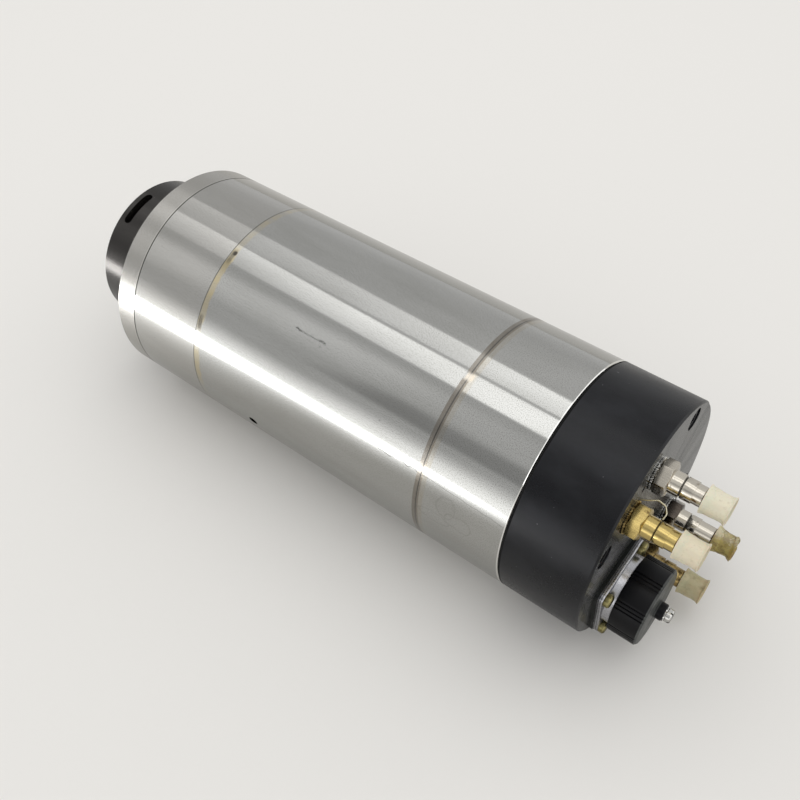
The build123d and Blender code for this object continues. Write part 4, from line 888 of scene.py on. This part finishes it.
@dataclass
class SoftCaps:
    """The push-on transit caps: soft tubes with a lipped, sunken end."""

    finishes: dict[str, Finishes] = field(default_factory=lambda: {
        "sealing_air": Finishes.CAP_A,
        "release_air": Finishes.CAP_B,
        "coolant_in": Finishes.CAP_C,
        "coolant_out": Finishes.CAP_D,
    })
    crumpled: str = "coolant_in"
    sides: int = 32
    # Rings along the cap: the share of its length from the mouth, and of its full radius there.
    profile: tuple[Span, ...] = ((0.05, 1.0), (0.30, 0.972), (0.62, 0.958), (0.86, 0.972), (0.96, 0.99))
    rim: float = 0.75 * MM
    recess: float = 1.5 * MM
    floor_inset: float = 0.9 * MM
    dent: float = 0.38 * MM
    pleat: float = 0.72
    crumple: float = 0.85 * MM

    def build(self) -> None:
        """Model one cap, copy it to the other fittings, then dent and dress each."""
        names = [name + "_cap" for name in self.finishes]
        low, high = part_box(names[0])
        pieces = [self.form(low, high)]
        for name in names[1:]:
            pieces.append(copy_at(pieces[0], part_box(name)[0] - low))
        for piece, (fitting, finish) in zip(pieces, self.finishes.items()):
            name = fitting + "_cap"
            if fitting == self.crumpled:
                self.fold(piece, *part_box(name))
            self.dented(piece, self.crumple if fitting == self.crumpled else self.dent)
            finish.dress(piece)
            self.shade_recess(piece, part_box(name)[1].x)
            settle(piece, name + "_soft", name)
            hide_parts(name)
            log.info("%s: soft cap, %.1f mm long", name, (high.x - low.x) / MM)

    def form(self, low: Vector, high: Vector) -> Piece:
        """Model the plain cap.

        Args:
            low: The lowest corner of its space.
            high: The highest.

        Returns:
            The cap, open for dents.
        """
        length, radius, middle = high.x - low.x, (high.y - low.y) / 2, (low + high) / 2
        deselect()
        bpy.ops.mesh.primitive_cylinder_add(vertices=self.sides, radius=radius, depth=length,
                                            end_fill_type="NGON", location=middle, rotation=(0, pi / 2, 0))
        piece = bpy.context.object
        bpy.ops.object.transform_apply(location=True, rotation=True, scale=True)
        with editing(piece):
            for share, girth in self.profile:
                ring = Vector((low.x + share * length, middle.y, middle.z))
                bpy.ops.mesh.select_all(action="SELECT")
                bpy.ops.mesh.bisect(plane_co=ring, plane_no=(1, 0, 0))
                pick(piece, "VERT", lambda vert: abs(vert.co.x - ring.x) < 0.01 * MM)
                bpy.ops.transform.resize(value=(1, girth, girth), center_override=ring)
            for way, depth in ((1, self.recess), (-1, 2 * self.recess)):
                pick(piece, "FACE", lambda face: face.normal.x * way > 0.9)
                bpy.ops.mesh.inset(thickness=self.rim)
                bpy.ops.transform.translate(value=(-way * depth, 0, 0))
                bpy.ops.mesh.inset(thickness=self.floor_inset)
        return piece

    def fold(self, piece: Piece, low: Vector, high: Vector) -> None:
        """Pinch the cap's end into pleats.

        Args:
            piece: The cap.
            low: The lowest corner of its space.
            high: The highest.
        """
        middle = (low + high) / 2
        start = low.x + 0.55 * (high.x - low.x)

        def in_pleat(vert: bmesh.types.BMVert) -> bool:
            """Say whether a corner lies in a pleat."""
            turn = atan2(vert.co.z - middle.z, vert.co.y - middle.y) / tau * self.sides
            return vert.co.x > start and round(turn) % 5 in (0, 3) and hypot(
                vert.co.y - middle.y, vert.co.z - middle.z) > 3 * MM

        with editing(piece):
            pick(piece, "VERT", in_pleat)
            bpy.ops.transform.resize(value=(1, self.pleat, self.pleat), center_override=middle)
            bpy.ops.transform.translate(value=(-0.7 * MM, 0, 0))

    def dented(self, piece: Piece, depth: float) -> None:
        """Round the rims, smooth the skin and press shallow dents into it.

        Args:
            piece: The cap.
            depth: How deep the dents are, in metres.
        """
        rounded(piece, 0.16 * MM, 50)
        smooth = piece.modifiers.new("soft", "SUBSURF")
        smooth.levels = 2
        smooth.render_levels = 2
        lumps = bpy.data.textures.new("dents", "CLOUDS")
        lumps.noise_scale = 4 * MM
        dents = piece.modifiers.new("dents", "DISPLACE")
        dents.texture = lumps
        dents.texture_coords = "LOCAL"
        dents.strength = depth
        # Only inwards, so that the cap stays in its space.
        dents.mid_level = 1.0
        apply_all(piece)
        bpy.ops.object.shade_smooth()

    def shade_recess(self, piece: Piece, end: float) -> None:
        """Give the floor of the sunken end its own, darker finish: painted shade.

        Args:
            piece: The dressed cap.
            end: Where the cap ends along the axis.
        """
        piece.data.materials.append(Finishes.CAP_RECESS_SHADE.value.make())
        deepest, shallowest = end - 1.6 * self.recess, end - 0.55 * self.recess
        with editing(piece):
            pick(piece, "FACE", lambda face: face.normal.x > 0.6 and
                 deepest < face.calc_center_median().x < shallowest)
            piece.active_material_index = 1
            bpy.ops.object.material_slot_assign()


@dataclass
class ToothedWasher:
    """A thin lock washer with twisted teeth round its rim."""

    outer: float = 6.6 * MM
    tooth: float = 0.55 * MM
    inner: float = 4.95 * MM
    plate: float = 0.6 * MM
    twist: float = 0.2 * MM
    teeth: int = 26

    def form(self, centre: Vector) -> Piece:
        """Model the washer.

        Args:
            centre: The middle of its lower face.

        Returns:
            The washer.
        """
        deselect()
        bpy.ops.mesh.primitive_circle_add(vertices=4 * self.teeth, radius=self.outer, location=centre,
                                          rotation=(0, pi / 2, 0))
        piece = bpy.context.object
        bpy.ops.object.transform_apply(location=True, rotation=True, scale=True)
        root, hole = 1 - self.tooth / self.outer, self.inner / self.outer
        with editing(piece):
            pick(piece, "VERT", lambda vert: vert.index % 4 > 1)
            bpy.ops.transform.resize(value=(1, root, root), center_override=centre)
            for side, lift in ((0, self.twist), (1, -self.twist)):
                pick(piece, "VERT", lambda vert: vert.index % 4 == side)
                bpy.ops.transform.translate(value=(lift, 0, 0))
            bpy.ops.mesh.select_all(action="SELECT")
            bpy.ops.mesh.extrude_edges_move()
            bpy.ops.transform.resize(value=(0, hole, hole), center_override=centre)
            bpy.ops.mesh.select_all(action="SELECT")
            bpy.ops.mesh.extrude_region_move(TRANSFORM_OT_translate={"value": (self.plate, 0, 0)})
            bpy.ops.mesh.select_all(action="SELECT")
            bpy.ops.transform.translate(value=(self.twist, 0, 0))
            bpy.ops.mesh.normals_make_consistent(inside=False)
        return piece


@dataclass
class HoseFittings:
    """Four hose fittings in the rear face, with their lock washers and the wire on one of them."""

    metals: dict[str, Finishes] = field(default_factory=lambda: {
        "sealing_air": Finishes.NICKEL,
        "release_air": Finishes.BRASS,
        "coolant_in": Finishes.NICKEL_OLD,
        "coolant_out": Finishes.BRASS_DULL,
    })
    washer_metals: tuple[Finishes, ...] = 2 * (Finishes.BRIGHT_SCREW, Finishes.BRASS_DULL)
    washer: ToothedWasher = field(default_factory=ToothedWasher)

    def build(self) -> None:
        """Dress the fittings, model their washers and dress the wire."""
        for name, finish in self.metals.items():
            finish.dress(ease_edges(name + "_fitting", 0.12 * MM))
        self.washers()
        dress_nodes(Finishes.WIRE, "wire_hoop")

    def washers(self) -> None:
        """Model one lock washer and copy it under the other fittings."""
        low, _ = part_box("fitting_washers")
        centres = []
        for name in self.metals:
            fitting_low, fitting_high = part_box(name + "_fitting")
            centre = (fitting_low + fitting_high) / 2
            centres.append(Vector((low.x, centre.y, centre.z)))
        made = [self.washer.form(centres[0])]
        made += [copy_at(made[0], centre - centres[0]) for centre in centres[1:]]
        for piece, name, finish in zip(made, self.metals, self.washer_metals):
            finish.dress(piece)
            settle(piece, name + "_washer", "housing")
        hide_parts("fitting_washers")
        log.info("washers: %d lock washers", len(made))


@dataclass
class CableConnector:
    """The square-flanged connector and its dust cap."""

    washer: ToothedWasher = field(default_factory=lambda: ToothedWasher(
        outer=3.2 * MM, tooth=0.5 * MM, inner=1.7 * MM, plate=0.5 * MM, twist=0.15 * MM, teeth=12))

    def build(self) -> None:
        """Dress the connector and its cap, and model the washer that the cap turns under."""
        dress_nodes(Finishes.RUBBER, "connector_gasket", "dust_cap_gasket")
        Finishes.DIE_CAST.dress(ease_edges("connector_receptacle", 0.18 * MM))
        Finishes.MOULDED.dress(ease_edges("dust_cap", 0.10 * MM, "dust_cap"))
        dress_nodes(Finishes.MOULDED, "connector_insert", "dust_cap_bush")
        dress_nodes(Finishes.GOLD, "connector_pins")
        Finishes.YELLOW_SCREW.dress(ease_edges("connector_screws", 0.08 * MM))
        dress_nodes(Finishes.BRIGHT_SCREW, "dust_cap_screw")
        low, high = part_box("swivel_washer")
        centre = (low + high) / 2
        piece = self.washer.form(Vector((low.x, centre.y, centre.z)))
        Finishes.BRIGHT_SCREW.dress(piece)
        settle(piece, "swivel_lock_washer", "cap_swivel")
        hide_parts("swivel_washer")
        log.info("swivel_washer: lock washer with %d teeth", self.washer.teeth)


# ---- Studio ----
@dataclass
class MirroredRoom(Nodes):
    """The room that polished metal mirrors: how bright each direction is, where a white wall is 1."""

    wall: float = 0.63
    window: float = 10.0

    def __post_init__(self) -> None:
        """Read the direction, its slopes along and across the spindle, and how far aside it points."""
        direction = self.add("TexCoord", out="Generated")
        self.x, self.y, self.z = (self.add("SeparateXYZ", direction, out=axis) for axis in "XYZ")
        up = self.add("MAXIMUM", self.z, 0.02)
        self.along, self.across = self.add("DIVIDE", self.x, up), self.add("DIVIDE", self.y, up)
        self.aside = self.add("DIVIDE", self.x, self.add("MINIMUM", self.y, -0.05))

    def brightness(self) -> Socket:
        """Add up the walls, the ceiling panels, the low window and the sky over it.

        Returns:
            The brightness.
        """
        above = self.add("MapRange", self.z, 0.05, 0.15, **SMOOTH)
        far_side = self.add("MapRange", self.across, -0.30, -0.05)
        walls = self.total(self.overlap(self.add("MapRange", self.along, -0.75, -0.4, 0.0, 0.10), far_side),
                           self.wall, self.add("MapRange", self.x, 0.1, 0.7, 0.0, 0.45))
        ceiling = self.overlap(above, self.total(self.panels(walls), self.soft_light()))
        low_sky = self.add("MapRange", self.z, 0.35, 0.0, 0.0, 0.09, **SMOOTH)
        return self.total(walls, ceiling, self.add("MAXIMUM", self.low_window(), low_sky))

    def panels(self, walls: Socket) -> Socket:
        """Set two long ceiling panels side by side, brighter towards the window.

        Args:
            walls: The brightness beside them.

        Returns:
            What they add to it.
        """
        split, near, far = (self.add("MULTIPLY_ADD", self.along, slope, start) for slope, start in (
            (-0.145, -0.010), (-0.105, -0.375), (-0.255, 0.325)))
        gap = self.add("MapRange", self.along, -0.85, -0.60, 0.0, 0.026)
        from_split = self.add("SUBTRACT", self.across, split)
        # The nearer panel fades towards its near edge, and less so where it is brightest.
        depth = self.add("MapRange", from_split, 0.0, -0.37)
        fall = self.add("MapRange", self.along, -0.52, -0.36, 0.33, 0.0)
        rising = self.add("MAXIMUM", self.add("MULTIPLY_ADD", self.along, 2.07, 3.0), 1.2)
        level = self.overlap(self.add("MINIMUM", rising, 1.84),
                             self.add("SUBTRACT", 1.0, self.overlap(depth, fall)))
        inside = self.overlap(
            self.add("MapRange", self.add("SUBTRACT", self.across, near), -0.01, 0.015, **SMOOTH),
            self.add("MapRange", self.total(from_split, gap), 0.006, -0.006, **SMOOTH))
        first = self.overlap(inside, self.add("SUBTRACT", level, walls))
        # The farther one fades towards the nearer one.
        reach = self.add("MAXIMUM", self.total(self.along, 0.95), 0.0)
        level = self.add("MINIMUM", self.add("MULTIPLY_ADD", self.overlap(reach, reach), 2.25, 0.98), 1.8)
        to_far = self.add("SUBTRACT", far, self.across)
        level = self.overlap(level, self.add("MapRange", to_far, 0.0, 0.40, 1.0, 0.75))
        inside = self.overlap(
            self.add("MapRange", to_far, -0.01, 0.015, **SMOOTH),
            self.add("MapRange", self.add("SUBTRACT", from_split, gap), -0.006, 0.006, **SMOOTH))
        return self.total(first, self.overlap(inside, self.add("SUBTRACT", level, walls)))

    def soft_light(self) -> Socket:
        """Set the blurred light beside the panels and the dark stretch of wall beyond it.

        Returns:
            What they add to the walls' brightness.
        """
        glow = self.overlap(self.add("MapRange", self.across, -0.38, -0.68, **SMOOTH),
                            self.add("MapRange", self.across, -1.9, -0.7, **SMOOTH),
                            self.add("MapRange", self.aside, 0.58, 0.98, 0.08, 0.29))
        dark = self.overlap(self.add("MapRange", self.aside, 0.68, 0.54, **SMOOTH),
                            self.add("MapRange", self.across, -1.05, -1.45, **SMOOTH),
                            self.add("MapRange", self.across, -2.7, -2.1, **SMOOTH))
        return self.total(glow, self.overlap(dark, -0.24))

    def low_window(self) -> Socket:
        """Set the bright window low on the near side, with its haze.

        Returns:
            What they add to the walls' brightness.
        """
        side = self.add("MapRange", self.y, 0.0, -0.25, **SMOOTH)
        raised = self.add("SUBTRACT", self.z, self.add("MapRange", self.aside, 0.62, 0.36, -0.015, 0.07))
        haze = self.overlap(self.add("MapRange", raised, 0.25, -0.16, **SMOOTH), 1.25)
        pane = self.overlap(self.stripe(self.z, -0.225, 0.080, 0.035),
                            self.add("MapRange", self.x, -0.26, -0.34, **SMOOTH))
        return self.overlap(side, self.total(haze, self.overlap(pane, self.window)))


@dataclass
class Studio:
    """A pale floor and background, soft light from above, and the camera."""

    floor_z: float = -50 * MM
    floor_half: float = 6.0
    floor_colour: str = "#EAE8E4"
    floor_shaded_in_mirror: str = "#D2D0CC"
    backdrop: str = "#E7E6E2"
    ambient: float = 0.85
    key_power: float = 5.2
    key_size: float = 2.0
    key_place: Point = (-0.05, 0.12, 1.5)
    # The mirrored floor: the slopes of the table's edge and of the glare, and how far off each sets in.
    edge_slope: float = 1.066
    edge_reach: Span = (0.255, 0.31)
    glare_slope: float = 0.75
    glare_reach: Span = (0.04, 0.25)
    glare: float = 2.0

    def build(self) -> None:
        """Build the floor, the lamp, the world and the camera."""
        self.floor()
        self.lamp()
        self.world()
        self.camera()
        bpy.context.scene.view_settings.view_transform = "Standard"

    def floor(self) -> None:
        """Lay the floor. In a mirror it is painted darker, glows towards the table's edge and ends there."""
        deselect()
        bpy.ops.mesh.primitive_plane_add(size=2 * self.floor_half, location=(0, 0, self.floor_z))
        piece = bpy.context.object
        piece.name = "studio_floor"
        made = bpy.data.materials.new("studio_floor")
        made.use_nodes = True
        nodes = Nodes(made.node_tree)
        shader = made.node_tree.nodes["Principled BSDF"]
        shader.inputs["Roughness"].default_value = 0.9
        shader.inputs["Specular IOR Level"].default_value = 0.0
        mirrored = nodes.add("LightPath", out="Is Glossy Ray")
        # Seen in a mirror the floor is darker: painted shade, as under the body.
        colour = nodes.painted(linear(self.floor_colour), (mirrored, 1.0, self.floor_shaded_in_mirror))
        made.node_tree.links.new(colour, shader.inputs["Base Color"])
        x, y = (nodes.add("SeparateXYZ", nodes.add("TexCoord", out="Object"), out=axis) for axis in "XY")
        # The table's edge runs past the nose and away from the camera's side.
        edge, shine = (nodes.add("MULTIPLY", nodes.add("MULTIPLY_ADD", x, slope, y), -1.0)
                       for slope in (self.edge_slope, self.glare_slope))
        near = nodes.add("POWER", nodes.add("MapRange", shine, *self.glare_reach), 2.0)
        beyond = nodes.add("MapRange", edge, *self.edge_reach, **SMOOTH)
        glow = nodes.add("Emission", linear("#FFFFFF"), self.glare)
        table = nodes.add("MixShader", nodes.overlap(near, mirrored), shader.outputs[0], glow)
        surface = nodes.add("MixShader", nodes.overlap(beyond, mirrored), table, nodes.add("BsdfTransparent"))
        made.node_tree.links.new(surface, made.node_tree.nodes["Material Output"].inputs["Surface"])
        piece.data.materials.append(made)

    def lamp(self) -> None:
        """Hang one broad lamp above the object."""
        data = bpy.data.lights.new("softbox", "AREA")
        data.shape = "DISK"
        data.size = self.key_size
        data.energy = self.key_power
        lamp = bpy.data.objects.new("softbox", data)
        bpy.context.scene.collection.objects.link(lamp)
        lamp.location = self.key_place
        lamp.rotation_euler = (Vector((0.1, 0, 0)) - lamp.location).to_track_quat("-Z", "Y").to_euler()
        lamp.visible_glossy = False
        lamp.visible_camera = False

    def world(self) -> None:
        """Make the plain light level, the pale background and the mirrored room."""
        world = bpy.data.worlds.new("studio")
        bpy.context.scene.world = world
        world.use_nodes = True
        world.node_tree.nodes.clear()
        nodes = Nodes(world.node_tree)
        camera, glossy, through = (nodes.add("LightPath", out=f"Is {ray} Ray")
                                   for ray in ("Camera", "Glossy", "Transmission"))
        plain = nodes.add("Background", linear("#FFFFFF"), self.ambient)
        seen = nodes.add("Background", linear(self.backdrop), 1.0)
        mirrored = nodes.add("Background", linear("#FFFFFF"), MirroredRoom(world.node_tree).brightness())
        lit = nodes.add("MixShader", glossy, plain, mirrored)
        nodes.add("OutputWorld", nodes.add("MixShader", nodes.add("MAXIMUM", camera, through), lit, seen))

    def camera(self) -> None:
        """Stand the camera above the rear right of the spindle."""
        data = bpy.data.cameras.new("camera")
        data.sensor_width = 36.0
        data.lens = 41.67
        data.clip_start = 0.01
        camera = bpy.data.objects.new("camera", data)
        bpy.context.scene.collection.objects.link(camera)
        right = Vector((0.7899, 0.6132, 0.0))
        down = Vector((0.4500, -0.5797, -0.6793))
        ahead = Vector((-0.4165, 0.5365, -0.7339))
        place = Vector((294.555, -220.446, 289.204)) * MM
        turned = Matrix((right, -down, -ahead)).transposed().to_4x4()
        camera.matrix_world = Matrix.Translation(place) @ turned
        bpy.context.scene.camera = camera


def main() -> None:
    """Build the sub-assemblies in order, then the studio."""
    logging.basicConfig(level=logging.INFO, format="%(message)s")
    for part in (InnerWorks(), Nose(), SteelBody(), RearCover(), HoseFittings(), SoftCaps(),
                 CableConnector()):
        part.build()
    Studio().build()


if __name__ == "__main__":
    main()
